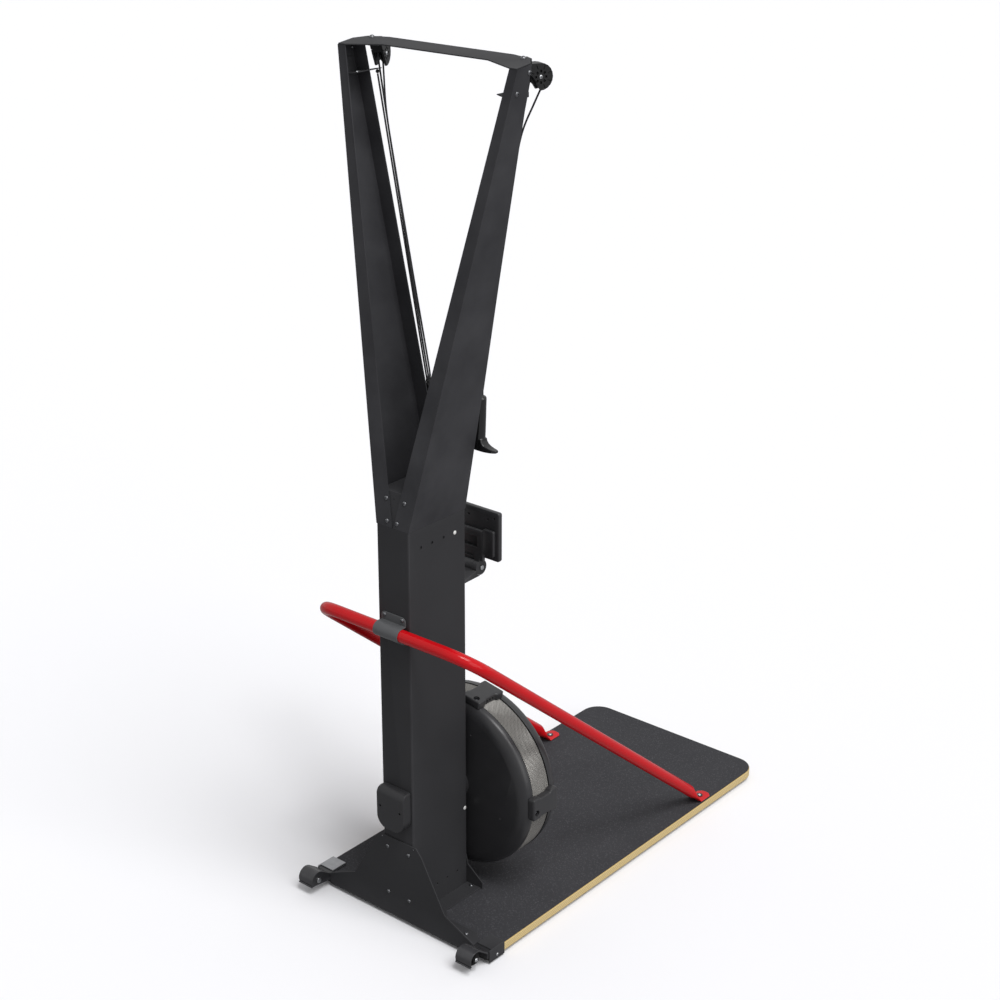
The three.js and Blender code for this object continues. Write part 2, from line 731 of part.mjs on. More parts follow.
const ARM_SLOPE = (ARM_TOP_HALF - MAST_HALF) / (ARM_TOP - MAST_TOP);

// The underside of the sloping cross plate, and what is left of a form that stands below it
function crossUnderside(y) {
  return ARM_TOP + GAP + CROSS_SLOPE * (y - ARM_TOP_REAR);
}

function belowCrossPlate(geometry) {
  const [rear, front] = [MAST_REAR, PULLEY_Y + HOUSING_RADIUS];
  const high = crossUnderside(front) + HOUSING_RADIUS;
  const above = polygon([
    [rear, crossUnderside(rear) - GAP],
    [front, crossUnderside(front) - GAP],
    [front, high],
    [rear, high],
  ]);
  return cutBy(geometry, plateYZ(above, 0, ARM_TOP_HALF + HOUSING_RADIUS));
}

// Cord guide shapes lie in the corner of the arm's web: -X runs away from the web, Z runs up along it.
function guidePlace(form) {
  const turn = new THREE.Matrix4().makeRotationY(Math.atan(ARM_SLOPE));
  return form.applyMatrix4(turn.setPosition(armOuter(GUIDE_Z) - SHEET - GAP, 0, GUIDE_Z));
}

function guideFlange(rear, front, grown) {
  return guidePlace(boxOf([-GUIDE_WIDTH - grown, grown], [rear, front], [-GUIDE_THICK - grown, grown]));
}

function arms() {
  const section = (z, rearFlange, frontFlange) => {
    const [x, rear, front] = [armOuter(z), armRear(z), armFront(z)];
    return [
      at(x, rear, z),
      at(x, front, z),
      at(x - frontFlange, front, z),
      at(x - frontFlange, front - SHEET, z),
      at(x - SHEET, front - SHEET, z),
      at(x - SHEET, rear + SHEET, z),
      at(x - rearFlange, rear + SHEET, z),
      at(x - rearFlange, rear, z),
    ];
  };
  const channel = loft([
    section(ARM_FOOT, ARM_REAR_FLANGE[0], ARM_FRONT_FLANGE[0]),
    section(crossUnderside(ARM_TOP_FRONT), ARM_REAR_FLANGE[1], ARM_FRONT_FLANGE[1]),
  ]);
  const front = armFront(GUIDE_Z);
  const slot = guideFlange(front - SHEET - CUT_PAST, front + CUT_PAST, GAP);
  const arm = cutBy(belowCrossPlate(channel), slot);
  bothSides((side, sign) => addMesh(`arm_${side}`, handed(arm, sign), STEEL));
}

// The ball that stops the cord hangs under the guide, near its free corner.
function stopPoint() {
  const z = -GUIDE_THICK - GAP - STOP_RADIUS;
  return guidePlace(at(STOP_INSET - GUIDE_WIDTH, GUIDE_FRONT_Y - STOP_BACK, z));
}

function cordGuides() {
  const rear = armRear(GUIDE_Z + GUIDE_LEG_HEIGHT) + SHEET + RUN_GAP;
  const leg = boxOf([-SHEET, 0], [rear, rear + GUIDE_LEG_LENGTH], [-GUIDE_THICK, GUIDE_LEG_HEIGHT]);
  const guide = joined(guideFlange(rear, GUIDE_FRONT_Y, 0), guidePlace(leg));
  const stop = new THREE.SphereGeometry(STOP_RADIUS, ...BALL_SIDES).translate(...stopPoint());
  bothSides((side, sign) => {
    addMesh(`cord_guide_${side}`, handed(guide, sign), STEEL);
    addMesh(`cord_stop_${side}`, handed(stop, sign), RUBBER);
  });
}

function jointBox() {
  const low = MAST_TOP - JOINT_BOX_DROP;
  const high = MAST_TOP + JOINT_BOX_RISE;
  const half = MAST_HALF - SHEET - GAP;
  const rearAt = (z) => armRear(Math.max(z, MAST_TOP)) + SHEET + GAP;
  const front = MAST_REAR + JOINT_BOX_DEPTH;
  const outer = polygon([
    [rearAt(low), low],
    [front, low],
    [front, high],
    [rearAt(high), high],
    [rearAt(MAST_TOP), MAST_TOP],
  ]);
  const inner = polygon([
    [rearAt(low) + SHEET, low - CUT_PAST],
    [front + CUT_PAST, low - CUT_PAST],
    [front + CUT_PAST, high - SHEET],
    [rearAt(high) + SHEET, high - SHEET],
    [rearAt(MAST_TOP) + SHEET, MAST_TOP],
  ]);
  const box = cutBy(plateYZ(outer, -half, half), plateYZ(inner, SHEET - half, half - SHEET));
  addMesh("joint_box", box, STEEL);
}

function topCrossPlate() {
  const outline = symmetric([
    [ARM_TOP_HALF - CROSS_MIDDLE_INSET, ARM_TOP_REAR + CROSS_MIDDLE_BACK],
    [ARM_TOP_HALF - CROSS_SHOULDER_INSET, ARM_TOP_REAR],
    [ARM_TOP_HALF - CROSS_END_INSET, ARM_TOP_REAR],
    [ARM_TOP_HALF - CROSS_END_INSET, ARM_TOP_FRONT],
    [ARM_TOP_HALF - CROSS_EAR_INSET, ARM_TOP_FRONT + CROSS_EAR_REACH],
    [ARM_TOP_HALF - CROSS_FRONT_INSET, ARM_TOP_FRONT + CROSS_FRONT_REACH],
  ]);
  const rise = new THREE.Matrix4().makeShear(0, 0, 0, CROSS_SLOPE, 0, 0);
  const plate = plateXY(polygon(outline), 0, SHEET).applyMatrix4(rise);
  addMesh("top_cross_plate", plate.translate(0, 0, crossUnderside(0)), STEEL);
}

// Pulley shapes are drawn with the sheave's axis along X and its centre at the origin, then toed out.
function pulleyPlace(geometry) {
  return geometry.rotateZ(-PULLEY_TOE).translate(PULLEY_X, PULLEY_Y, PULLEY_Z);
}

function pulleyPoint(x, y, z) {
  return at(x, y, z).applyAxisAngle(at(0, 0, 1), -PULLEY_TOE).add(at(PULLEY_X, PULLEY_Y, PULLEY_Z));
}

function pulleys() {
  const body = new THREE.Shape();
  body.moveTo(-HOUSING_REAR, -HOUSING_RADIUS);
  body.absarc(0, 0, HOUSING_RADIUS, -QUARTER_TURN, QUARTER_TURN);
  body.lineTo(-HOUSING_REAR, HOUSING_RADIUS);
  const [boltX, boltY] = [PULLEY_INSET - CROSS_BOLT_INSET, CROSS_BOLT_REACH - PULLEY_REACH];
  const boltBack = boltX * Math.sin(PULLEY_TOE) + boltY * Math.cos(PULLEY_TOE);
  const lugTop = crossUnderside(PULLEY_Y) - PULLEY_Z;
  const lug = boxOf(
    [-LUG_HALF, LUG_HALF],
    [boltBack - LUG_PAST_BOLT, -SHEAVE_RADIUS],
    [HOUSING_RADIUS - LUG_THICK, lugTop],
  );
  const hollow = SHEAVE_RADIUS + RUN_GAP;
  const cavityHalf = HOUSING_CAVITY / 2;
  const cavity = joined(
    rod("x", hollow, -cavityHalf, cavityHalf),
    boxOf([-cavityHalf, cavityHalf], [-hollow, hollow], [-HOUSING_RADIUS - CUT_PAST, 0]),
  );
  const half = HOUSING_WIDTH / 2;
  const shell = cutBy(joined(plateYZ(body, -half, half), lug), cavity);
  const pin = rod("x", SHEAVE_PIN_RADIUS, -half, half, SMALL_SIDES);
  const housing = belowCrossPlate(pulleyPlace(joined(shell, pin)));

  const grooveRadius = CORD_LINE_RADIUS - CORD_RADIUS - GAP;
  const sheaveHalf = SHEAVE_WIDTH / 2;
  const bore = SHEAVE_PIN_RADIUS + GAP;
  const sheave = lathe(
    [
      [bore, -sheaveHalf],
      [SHEAVE_RADIUS, -sheaveHalf],
      [grooveRadius, -CORD_RADIUS - GAP],
      [grooveRadius, CORD_RADIUS + GAP],
      [SHEAVE_RADIUS, sheaveHalf],
      [bore, sheaveHalf],
      [bore, -sheaveHalf],
    ],
    ROUND_SIDES,
  );
  const placed = pulleyPlace(sheave.rotateZ(-QUARTER_TURN));
  bothSides((side, sign) => {
    addMesh(`pulley_housing_${side}`, handed(housing, sign), BLACK);
    addMesh(`sheave_${side}`, handed(placed, sign), PLASTIC);
  });
}

// Handle shapes are drawn upright with the foot's middle at the origin, then leaned and put in place.
function handlePlace(geometry) {
  return geometry.rotateY(HANDLE_LEAN).translate(HANDLE_X, HANDLE_Y, HANDLE_FOOT_Z);
}

function handlePoint(x, y, z) {
  return at(x, y, z).applyAxisAngle(at(0, 1, 0), HANDLE_LEAN).add(at(HANDLE_X, HANDLE_Y, HANDLE_FOOT_Z));
}

function handles() {
  const shoulder = GRIP_LENGTH - GRIP_RADIUS / 2;
  const grip = lathe(
    [
      [0, HANDLE_FOOT_HEIGHT / 2],
      [GRIP_NECK_RADIUS, HANDLE_FOOT_HEIGHT / 2],
      [GRIP_NECK_RADIUS, HANDLE_FOOT_HEIGHT],
      [GRIP_RADIUS, GRIP_LENGTH / 3],
      ...GRIP_TOP_SHARES.map(([wide, down]) => [GRIP_RADIUS * wide, GRIP_LENGTH - GRIP_RADIUS * down]),
      [0, GRIP_LENGTH],
    ],
    MIDDLE_SIDES,
  ).rotateX(QUARTER_TURN);
  const foot = new THREE.Shape();
  foot.moveTo(-HANDLE_HEEL, HANDLE_TIP_RISE);
  foot.quadraticCurveTo(-GRIP_RADIUS, 0, 0, 0);
  foot.quadraticCurveTo(HANDLE_HEEL, 0, HANDLE_BEAK, HANDLE_TIP_RISE);
  foot.lineTo(HANDLE_BEAK, HANDLE_TIP_RISE + HANDLE_TIP);
  foot.quadraticCurveTo(GRIP_RADIUS, HANDLE_FOOT_HEIGHT, GRIP_NECK_RADIUS, HANDLE_SWEEP);
  foot.lineTo(-GRIP_NECK_RADIUS, HANDLE_SWEEP);
  foot.quadraticCurveTo(-GRIP_RADIUS, HANDLE_FOOT_HEIGHT, -HANDLE_HEEL, HANDLE_TIP_RISE + HANDLE_TIP);
  const thick = HANDLE_FOOT_THICK / 2;
  const eyeTop = GRIP_LENGTH + EYE_RISE;
  const eye = boxOf([-EYE_WIDTH / 2, EYE_WIDTH / 2], [-EYE_THICK / 2, EYE_THICK / 2], [shoulder, eyeTop]);
  const hole = rod("y", EYE_HOLE_RADIUS, -EYE_THICK, EYE_THICK, HOLE_SIDES);
  hole.translate(0, 0, GRIP_LENGTH + EYE_HOLE_RISE);
  const whole = cutBy(joined(grip, plateXZ(foot, -thick, thick, HANDLE_FOOT_BEVEL), eye), hole);
  const handle = handlePlace(whole);

  const inner = GRIP_RADIUS + GAP;
  const outer = inner + CLIP_WALL;
  const [from, to] = [CLIP_FROM, CLIP_TO].map(THREE.MathUtils.degToRad);
  const cradle = new THREE.Shape();
  cradle.absarc(0, 0, outer, from, to);
  cradle.absarc(0, 0, inner, to, from, true);
  const low = CLIP_RISE - CLIP_HEIGHT / 2;
  const high = CLIP_RISE + CLIP_HEIGHT / 2;
  const wallY = armFront(CLIP_Z - CLIP_HEIGHT / 2) + GAP - HANDLE_Y;
  const clip = joined(
    plateXY(cradle, low, high),
    boxOf(CLIP_BASE, [wallY, wallY + CLIP_BASE_THICK], [low, high]),
    boxOf(CLIP_STEM, [wallY, -inner - CLIP_WALL / 2], [low, high]),
  );
  const placedClip = handlePlace(clip);
  bothSides((side, sign) => {
    addMesh(`handle_${side}`, handed(handle, sign), BLACK);
    addMesh(`handle_clip_${side}`, handed(placedClip, sign), RUBBER);
  });
}

function mirroredPoints(points, sign) {
  return points.map((point) => at(sign * point.x, point.y, point.z));
}

// A point on the cord where it leaves the front of the sheave, some way along its straight lead
function leavingPoint(along) {
  const [across, up] = [Math.cos(CORD_LEAVES), Math.sin(CORD_LEAVES)];
  return pulleyPoint(0, CORD_LINE_RADIUS * across - along * up, -CORD_LINE_RADIUS * up - along * across);
}

// From the ball stop down to the handle, through its eye and slackly back up to the front of the sheave
function handleCords() {
  const turnZ = GRIP_LENGTH + EYE_HOLE_RISE + EYE_TURN_RADIUS;
  const turn = Array.from({ length: BEND_STEPS + 1 }, (_, i) => {
    const angle = (HALF_TURN * i) / BEND_STEPS;
    return handlePoint(0, -EYE_TURN_RADIUS * Math.cos(angle), turnZ - EYE_TURN_RADIUS * Math.sin(angle));
  });
  const start = stopPoint().sub(at(0, 0, STOP_RADIUS + GAP));
  const sheaveEnd = leavingPoint(GAP);
  const foot = turn[turn.length - 1];
  const slack = SLACK_SHARES.map((share, i) =>
    sheaveEnd.clone().lerp(foot, share).sub(at(SLACK_INWARD[i], SLACK_REARWARD[i], 0)),
  ).reverse();
  const route = [start, ...turn, ...slack, leavingPoint(GAP + CORD_LEAD), sheaveEnd];
  bothSides((side, sign) => {
    addMesh(`handle_cord_${side}`, tubeAlong(mirroredPoints(route, sign), CORD_SIDES, CORD_RADIUS), CORD);
  });
}

// Over the sheave, down in front of the arm, in through the throat of the V and down to its spool. Both
// cords leave their spools on the right, so a pull on either turns the flywheel the same way.
function driveCords() {
  const over = Array.from({ length: 2 * BEND_STEPS + 1 }, (_, i) => {
    const angle = -CORD_LEAVES + ((HALF_TURN + CORD_LEAVES) * i) / (2 * BEND_STEPS);
    return pulleyPoint(0, CORD_LINE_RADIUS * Math.cos(angle), CORD_LINE_RADIUS * Math.sin(angle));
  });
  const levels = THROAT_RISE.map((rise) => MAST_TOP + rise);
  const inset = [THROAT_FRONT + CORD_RADIUS, -SHEET / 2, -THROAT_BACK - CORD_RADIUS];
  const spread = [CORD_RADIUS * 2, 0, 0];
  const throat = levels.map((z, i) => at(THROAT_X + spread[i], armFront(z) + inset[i], z));
  const runZ = MAST_TOP + ARM_RUN_RISE;
  const run = at(armOuter(runZ) - ARM_RUN_INSET, armFront(runZ) + inset[0], runZ);
  const spoolX = SPOOL_CORE_RADIUS + GAP + CORD_RADIUS;
  bothSides((side, sign) => {
    const spoolY = MAST_REAR + SPOOL_SHARES[sign > 0 ? 1 : 0] * MAST_DEPTH;
    const route = [...mirroredPoints([...over, run, ...throat], sign), at(spoolX, spoolY, SHAFT_Z)];
    addMesh(`drive_cord_${side}`, tubeAlong(route, CORD_SIDES, CORD_RADIUS), CORD);
    const half = SPOOL_WIDTH / 2;
    const bore = SHAFT_RADIUS + GAP;
    const spool = lathe(
      [
        [bore, -half],
        [SPOOL_FLANGE_RADIUS, -half],
        [SPOOL_FLANGE_RADIUS, SPOOL_FLANGE - half],
        [SPOOL_CORE_RADIUS, SPOOL_FLANGE - half],
        [SPOOL_CORE_RADIUS, half - SPOOL_FLANGE],
        [SPOOL_FLANGE_RADIUS, half - SPOOL_FLANGE],
        [SPOOL_FLANGE_RADIUS, half],
        [bore, half],
        [bore, -half],
      ],
      ROUND_SIDES,
    ).translate(0, spoolY, SHAFT_Z);
    addMesh(`drive_spool_${side}`, spool, PLASTIC);
  });
}

// The cover as its outline from the rear cut to its shoulder from the side; inset draws it smaller.
function coverForm(inset, front) {
  const half = COVER_HALF - inset;
  const rear = MAST_REAR - GAP - COVER_DEPTH + inset;
  const top = COVER_TOP - inset;
  const outline = roundedRectangle(
    [-half, half],
    [COVER_BOTTOM + inset, top],
    COVER_LOW_CORNER - inset,
    COVER_HIGH_CORNER - inset,
  );
  const side = new THREE.Shape();
  side.moveTo(front, COVER_BOTTOM);
  side.lineTo(front, top);
  side.absarc(rear + COVER_SHOULDER, top - COVER_SHOULDER, COVER_SHOULDER, QUARTER_TURN, HALF_TURN);
  side.lineTo(rear, COVER_BOTTOM);
  return common(plateXZ(outline, rear, front), plateYZ(side, -COVER_HALF, COVER_HALF));
}

function driveCover() {
  const front = MAST_REAR - GAP;
  const cover = cutBy(coverForm(0, front), coverForm(COVER_WALL, front + CUT_PAST));
  addMesh("rear_drive_cover", cover, { color: 0x26272a, roughness: 0.45, metalness: 0 });
}

function flywheel() {
  const coverInner = MAST_REAR - GAP - COVER_DEPTH + COVER_WALL;
  const shaft = rod("y", SHAFT_RADIUS, coverInner + SHAFT_END_GAP, DRUM_FRONT, ROUND_SIDES);
  addMesh("flywheel_shaft", shaft.translate(0, 0, SHAFT_Z), BRIGHT);

  const middle = (BAND_REAR + BAND_FRONT) / 2;
  const discHalf = FAN_DISC / 2;
  const disc = rod("y", FAN_RADIUS - BLADE_SIDE_GAP, middle - discHalf, middle + discHalf, DRUM_SIDES);
  const hub = rod("y", FAN_HUB_RADIUS, middle - FAN_HUB_WIDTH / 2, middle + FAN_HUB_WIDTH / 2);
  const blades = Array.from({ length: BLADE_COUNT }, (_, i) =>
    boxOf(
      [FAN_ROOT, FAN_RADIUS],
      [BAND_REAR + BLADE_SIDE_GAP, BAND_FRONT - BLADE_SIDE_GAP],
      [-BLADE_THICK / 2, BLADE_THICK / 2],
    ).rotateY((FULL_TURN * i) / BLADE_COUNT),
  );
  const bore = rod("y", SHAFT_RADIUS + GAP, middle - FAN_HUB_WIDTH, middle + FAN_HUB_WIDTH);
  const fan = cutBy(joined(disc, hub, ...blades), bore).translate(0, 0, SHAFT_Z);
  addMesh("flywheel_fan", fan, { color: 0x2c2d30, roughness: 0.5, metalness: 0.2 });
}

// A quarter round from a drum shell's flat face to its rim
function shoulder(faceRadius, rimRadius, faceY, rimY) {
  return Array.from({ length: SHOULDER_STEPS + 1 }, (_, i) => {
    const angle = (QUARTER_TURN * i) / SHOULDER_STEPS;
    return [
      faceRadius + (rimRadius - faceRadius) * Math.sin(angle),
      rimY + (faceY - rimY) * Math.cos(angle),
    ];
  });
}

function drum() {
  const bore = SHAFT_RADIUS + GAP;
  const rim = DRUM_RADIUS;
  const inside = rim - DRUM_WALL;
  const faceInside = DRUM_FACE_RADIUS - DRUM_WALL;
  const rearLip = BAND_REAR - DRUM_LIP;
  const rearShell = lathe(
    [
      [bore, MAST_FRONT + GAP],
      [DRUM_BOSS_RADIUS, MAST_FRONT + GAP],
      [DRUM_BOSS_RADIUS, DRUM_REAR],
      ...shoulder(DRUM_FACE_RADIUS, rim, DRUM_REAR, rearLip),
      [rim, BAND_REAR],
      [inside, BAND_REAR],
      ...shoulder(faceInside, inside, DRUM_REAR + DRUM_WALL, rearLip).reverse(),
      [bore, DRUM_REAR + DRUM_WALL],
      [bore, MAST_FRONT + GAP],
    ],
    DRUM_SIDES,
  ).translate(0, 0, SHAFT_Z);
  addMesh("drum_rear_shell", rearShell, PLASTIC);

  const bandOuter = rim - BAND_INSET;
  const band = lathe(
    [
      [bandOuter - DRUM_WALL, BAND_REAR + GAP],
      [bandOuter, BAND_REAR + GAP],
      [bandOuter, BAND_FRONT - GAP],
      [bandOuter - DRUM_WALL, BAND_FRONT - GAP],
      [bandOuter - DRUM_WALL, BAND_REAR + GAP],
    ],
    DRUM_SIDES,
  ).translate(0, 0, SHAFT_Z);
  addMesh("drum_mesh_band", band, { color: 0xb9bbbd, roughness: 0.4, metalness: 0.9 });

  const hubTop = DRUM_FRONT + HUB_RISE;
  const frontLip = BAND_FRONT + DRUM_LIP;
  const front = lathe(
    [
      [bore, DRUM_FRONT - DRUM_WALL],
      ...shoulder(faceInside, inside, DRUM_FRONT - DRUM_WALL, frontLip),
      [inside, BAND_FRONT],
      [rim, BAND_FRONT],
      ...shoulder(DRUM_FACE_RADIUS, rim, DRUM_FRONT, frontLip).reverse(),
      [HUB_RADIUS, DRUM_FRONT],
      [HUB_RADIUS, hubTop],
      [0, hubTop],
      [0, DRUM_FRONT + GAP],
      [bore, DRUM_FRONT + GAP],
      [bore, DRUM_FRONT - DRUM_WALL],
    ],
    DRUM_SIDES,
  );
  const intakes = (y0, y1) =>
    Array.from({ length: INTAKE_COUNT }, (_, i) =>
      rod("y", INTAKE_RADIUS, y0 - CUT_PAST, y1 + CUT_PAST, HOLE_SIDES)
        .translate(INTAKE_RING, 0, 0)
        .rotateY((FULL_TURN * i) / INTAKE_COUNT),
    );
  const frontShell = cutBy(front, ...intakes(DRUM_FRONT - DRUM_WALL, DRUM_FRONT));
  addMesh("drum_front_shell", frontShell.translate(0, 0, SHAFT_Z), PLASTIC);

  const low = DRUM_FRONT + GAP;
  const high = low + DAMPER_THICK;
  const arm = boxOf([0, DAMPER_REACH], [low, high + DAMPER_THICK], [-DAMPER_ARM_HALF, DAMPER_ARM_HALF]);
  const damper = cutBy(
    joined(rod("y", DAMPER_RADIUS, low, high, ROUND_SIDES), arm),
    rod("y", HUB_RADIUS + GAP, low - CUT_PAST, high + DAMPER_THICK + CUT_PAST, ROUND_SIDES),
    ...intakes(low, high + DAMPER_THICK).slice(1),
  );
  addMesh("damper_lever", damper.rotateY(-QUARTER_TURN).translate(0, 0, SHAFT_Z), BLACK);
}

function drumClips() {
  const inner = DRUM_RADIUS + GAP;
  const outer = inner + DRUM_CLIP_RISE;
  const spread = Math.asin(DRUM_CLIP_HALF / DRUM_RADIUS);
  const rear = BAND_REAR - DRUM_CLIP_BACK;
  for (const [place, degrees] of Object.entries(DRUM_CLIPS)) {
    const middle = THREE.MathUtils.degToRad(degrees);
    const shape = new THREE.Shape();
    shape.absarc(0, 0, outer, middle - spread + DRUM_CLIP_DRAFT, middle + spread - DRUM_CLIP_DRAFT);
    shape.absarc(0, 0, inner, middle + spread, middle - spread, true);
    const clip = plateXZ(shape, rear, rear + DRUM_CLIP_LENGTH).translate(0, 0, SHAFT_Z);
    addMesh(`drum_clip_${place}`, clip, PLASTIC);
  }
}

// Half of the brace's centre line, from the middle behind the mast to the flattened end on the board
function braceRoute() {
  const rearY = MAST_REAR - GAP - TUBE_RADIUS;
  const flatZ = GAP + TUBE_FLAT_THICK / 2;
  const endX = BOARD_HALF - TUBE_END_INSET;
  const flatStart = at(endX, TUBE_END_Y - TUBE_FLAT_LENGTH, flatZ);
  const corner = at(BOARD_HALF - TUBE_INSET, rearY, TUBE_Z);
  const leg = flatStart.clone().add(at(0, 0, TUBE_RADIUS)).sub(corner);
  const length = leg.length();
  leg.normalize();
  const bendStart = corner.clone().sub(at(TUBE_BEND, 0, 0));
  const bendEnd = corner.clone().addScaledVector(leg, TUBE_BEND);
  const bend = new THREE.QuadraticBezierCurve3(bendStart, corner, bendEnd).getPoints(BEND_STEPS);
  const squash = corner.clone().addScaledVector(leg, length - TUBE_SQUASH_LENGTH);
  const stations = [
    [at(0, rearY, TUBE_Z), TUBE_RADIUS, TUBE_RADIUS],
    ...bend.map((point) => [point, TUBE_RADIUS, TUBE_RADIUS]),
    [squash, TUBE_RADIUS, TUBE_RADIUS],
    [flatStart, TUBE_FLAT_HALF, TUBE_FLAT_THICK / 2],
    [at(endX, TUBE_END_Y - TUBE_CLIP, flatZ), TUBE_FLAT_HALF, TUBE_FLAT_THICK / 2],
    [at(endX, TUBE_END_Y, flatZ), TUBE_FLAT_HALF - TUBE_CLIP, TUBE_FLAT_THICK / 2],
  ];
  return stations;
}

function braceTube() {
  const half = braceRoute();
  const other = half.slice(1).map(([p, w, t]) => [at(-p.x, p.y, p.z), w, t]).reverse();
  const stations = [...other, ...half];
  const tube = tubeAlong(
    stations.map(([point]) => point),
    TUBE_SIDES,
    stations.map(([, wide]) => wide),
    stations.map(([, , thick]) => thick),
  );
  addMesh("support_tube", tube, { color: 0xc8202a, roughness: 0.4, metalness: 0.1 });
}

function tubeClamp() {
  const centre = MAST_REAR - GAP - TUBE_RADIUS;
  const inner = TUBE_RADIUS + GAP;
  const outer = inner + SHEET;
  const front = MAST_REAR - GAP;
  const strap = new THREE.Shape();
  strap.moveTo(front, CLAMP_BOTTOM);
  strap.lineTo(front, TUBE_Z - inner);
  strap.lineTo(centre, TUBE_Z - inner);
  strap.absarc(centre, TUBE_Z, inner, -QUARTER_TURN, QUARTER_TURN, true);
  strap.lineTo(front, TUBE_Z + inner);
  strap.lineTo(front, CLAMP_TOP);
  strap.lineTo(front - SHEET, CLAMP_TOP);
  strap.lineTo(front - SHEET, TUBE_Z + outer);
  strap.lineTo(centre, TUBE_Z + outer);
  strap.absarc(centre, TUBE_Z, outer, QUARTER_TURN, -QUARTER_TURN);
  strap.lineTo(front - SHEET, TUBE_Z - outer);
  strap.lineTo(front - SHEET, CLAMP_BOTTOM);
  const outline = roundedRectangle([-CLAMP_HALF, CLAMP_HALF], [CLAMP_BOTTOM, CLAMP_TOP], CLAMP_CORNER);
  const reach = plateXZ(outline, centre - outer - CUT_PAST, front + CUT_PAST);
  const clamp = common(plateYZ(strap, -CLAMP_HALF, CLAMP_HALF), reach);
  addMesh("tube_clamp", clamp, { color: 0x6a6c6f, roughness: 0.5, metalness: 0.2 });
}

function monitor() {
  const caseFront = CASE_REAR_Y + CASE_THICK;
  const outline = roundedRectangle([-CASE_HALF, CASE_HALF], [CASE_BOTTOM, CASE_TOP], CASE_CORNER);
  const pocket = (half, low, high, depth) =>
    boxOf([-half, half], [caseFront - depth, caseFront + CUT_PAST], [low, high]);
  const buttonZ = CASE_BOTTOM + BUTTON_RISE;
  const wellFloor = caseFront - BUTTON_DEPTH - BUTTON_TRAVEL;
  const well = rod("y", BUTTON_RADIUS + GAP, wellFloor, caseFront + CUT_PAST, BUTTON_SIDES);
  addMesh(
    "monitor_case",
    cutBy(
      plateXZ(outline, CASE_REAR_Y, caseFront, CASE_BEVEL),
      pocket(SCREEN_HALF + GAP, SCREEN_BOTTOM - GAP, SCREEN_TOP + GAP, SCREEN_THICK + GAP),
      well.translate(0, 0, buttonZ),
    ),
    BLACK,
  );
  const screen = boxOf(
    [-SCREEN_HALF, SCREEN_HALF],
    [caseFront - SCREEN_THICK, caseFront],
    [SCREEN_BOTTOM, SCREEN_TOP],
  );
  addMesh("monitor_screen", screen, { color: 0x8e9a90, roughness: 0.25, metalness: 0 });
  const buttonTop = caseFront + BUTTON_PROUD;
  const button = rod("y", BUTTON_RADIUS, buttonTop - BUTTON_DEPTH, buttonTop, BUTTON_SIDES);
  addMesh("monitor_button", button.translate(0, 0, buttonZ), PLASTIC);

  const back = CASE_REAR_Y - GAP;
  const battery = roundedRectangle(
    [BATTERY_FROM_X, BATTERY_TO_X],
    [BATTERY_FROM_Z, BATTERY_TO_Z],
    BATTERY_CORNER,
  );
  addMesh("battery_cover", plateXZ(battery, back - BATTERY_DEPTH, back, BATTERY_BEVEL), BLACK);

  const plateLow = BARREL_Z + BARREL_RADIUS + RUN_GAP;
  const level = (share) => THREE.MathUtils.lerp(plateLow, BRACKET_TOP, share);
  const opening = (half, shares) =>
    boxOf([-half, half], [back - BRACKET_THICK - CUT_PAST, back + CUT_PAST], shares.map(level));
  const openings = [opening(SLOT_HALF, SLOT_SHARES), opening(WINDOW_HALF, WINDOW_SHARES)];
  const knuckleInner = BARREL_HALF + GAP;
  const pastEar = KNUCKLE_END + CUT_PAST;
  const pinBore = rod("x", HINGE_PIN_RADIUS + GAP, -pastEar, pastEar, SMALL_SIDES);
  pinBore.translate(0, BARREL_Y, BARREL_Z);
  const ear = (x0, x1) =>
    joined(
      rod("x", BARREL_RADIUS, x0, x1, ROUND_SIDES).translate(0, BARREL_Y, BARREL_Z),
      plateYZ(
        polygon([
          [BARREL_Y - BARREL_RADIUS / 2, BARREL_Z],
          [BARREL_Y + BARREL_RADIUS, BARREL_Z],
          [back, plateLow],
          [back, plateLow + BARREL_RADIUS],
          [back - BRACKET_THICK, plateLow + BARREL_RADIUS],
        ]),
        x0,
        x1,
      ),
    );
  const plate = boxOf([-BRACKET_HALF, BRACKET_HALF], [back - BRACKET_THICK, back], [plateLow, BRACKET_TOP]);
  const bracket = joined(plate, ear(knuckleInner, KNUCKLE_END), ear(-KNUCKLE_END, -knuckleInner));
  addMesh("monitor_bracket", cutBy(bracket, pinBore, ...openings), STEEL);

  const foot = MAST_FRONT + GAP;
  const armBlade = polygon([
    [foot, MONITOR_FOOT_BOTTOM],
    [foot + SHEET, MONITOR_FOOT_BOTTOM],
    [foot + SHEET, MONITOR_FOOT_TOP - SHEET * 2],
    [BARREL_Y, BARREL_Z - BARREL_RADIUS],
    [BARREL_Y - BARREL_RADIUS / 2, BARREL_Z],
    [foot, MONITOR_FOOT_TOP],
  ]);
  const barrel = rod("x", BARREL_RADIUS, -BARREL_HALF, BARREL_HALF).translate(0, BARREL_Y, BARREL_Z);
  const wideBlade = plateYZ(armBlade, -MONITOR_ARM_HALF, MONITOR_ARM_HALF);
  const clearance = BARREL_RADIUS + RUN_GAP;
  const earSpace = (x0, x1) => rod("x", clearance, x0, x1, ROUND_SIDES).translate(0, BARREL_Y, BARREL_Z);
  const past = MONITOR_ARM_HALF + CUT_PAST;
  const monitorArm = cutBy(
    joined(
      cutBy(wideBlade, earSpace(BARREL_HALF, past), earSpace(-past, -BARREL_HALF)),
      barrel,
    ),
    pinBore,
  );
  addMesh("monitor_arm", monitorArm, STEEL);

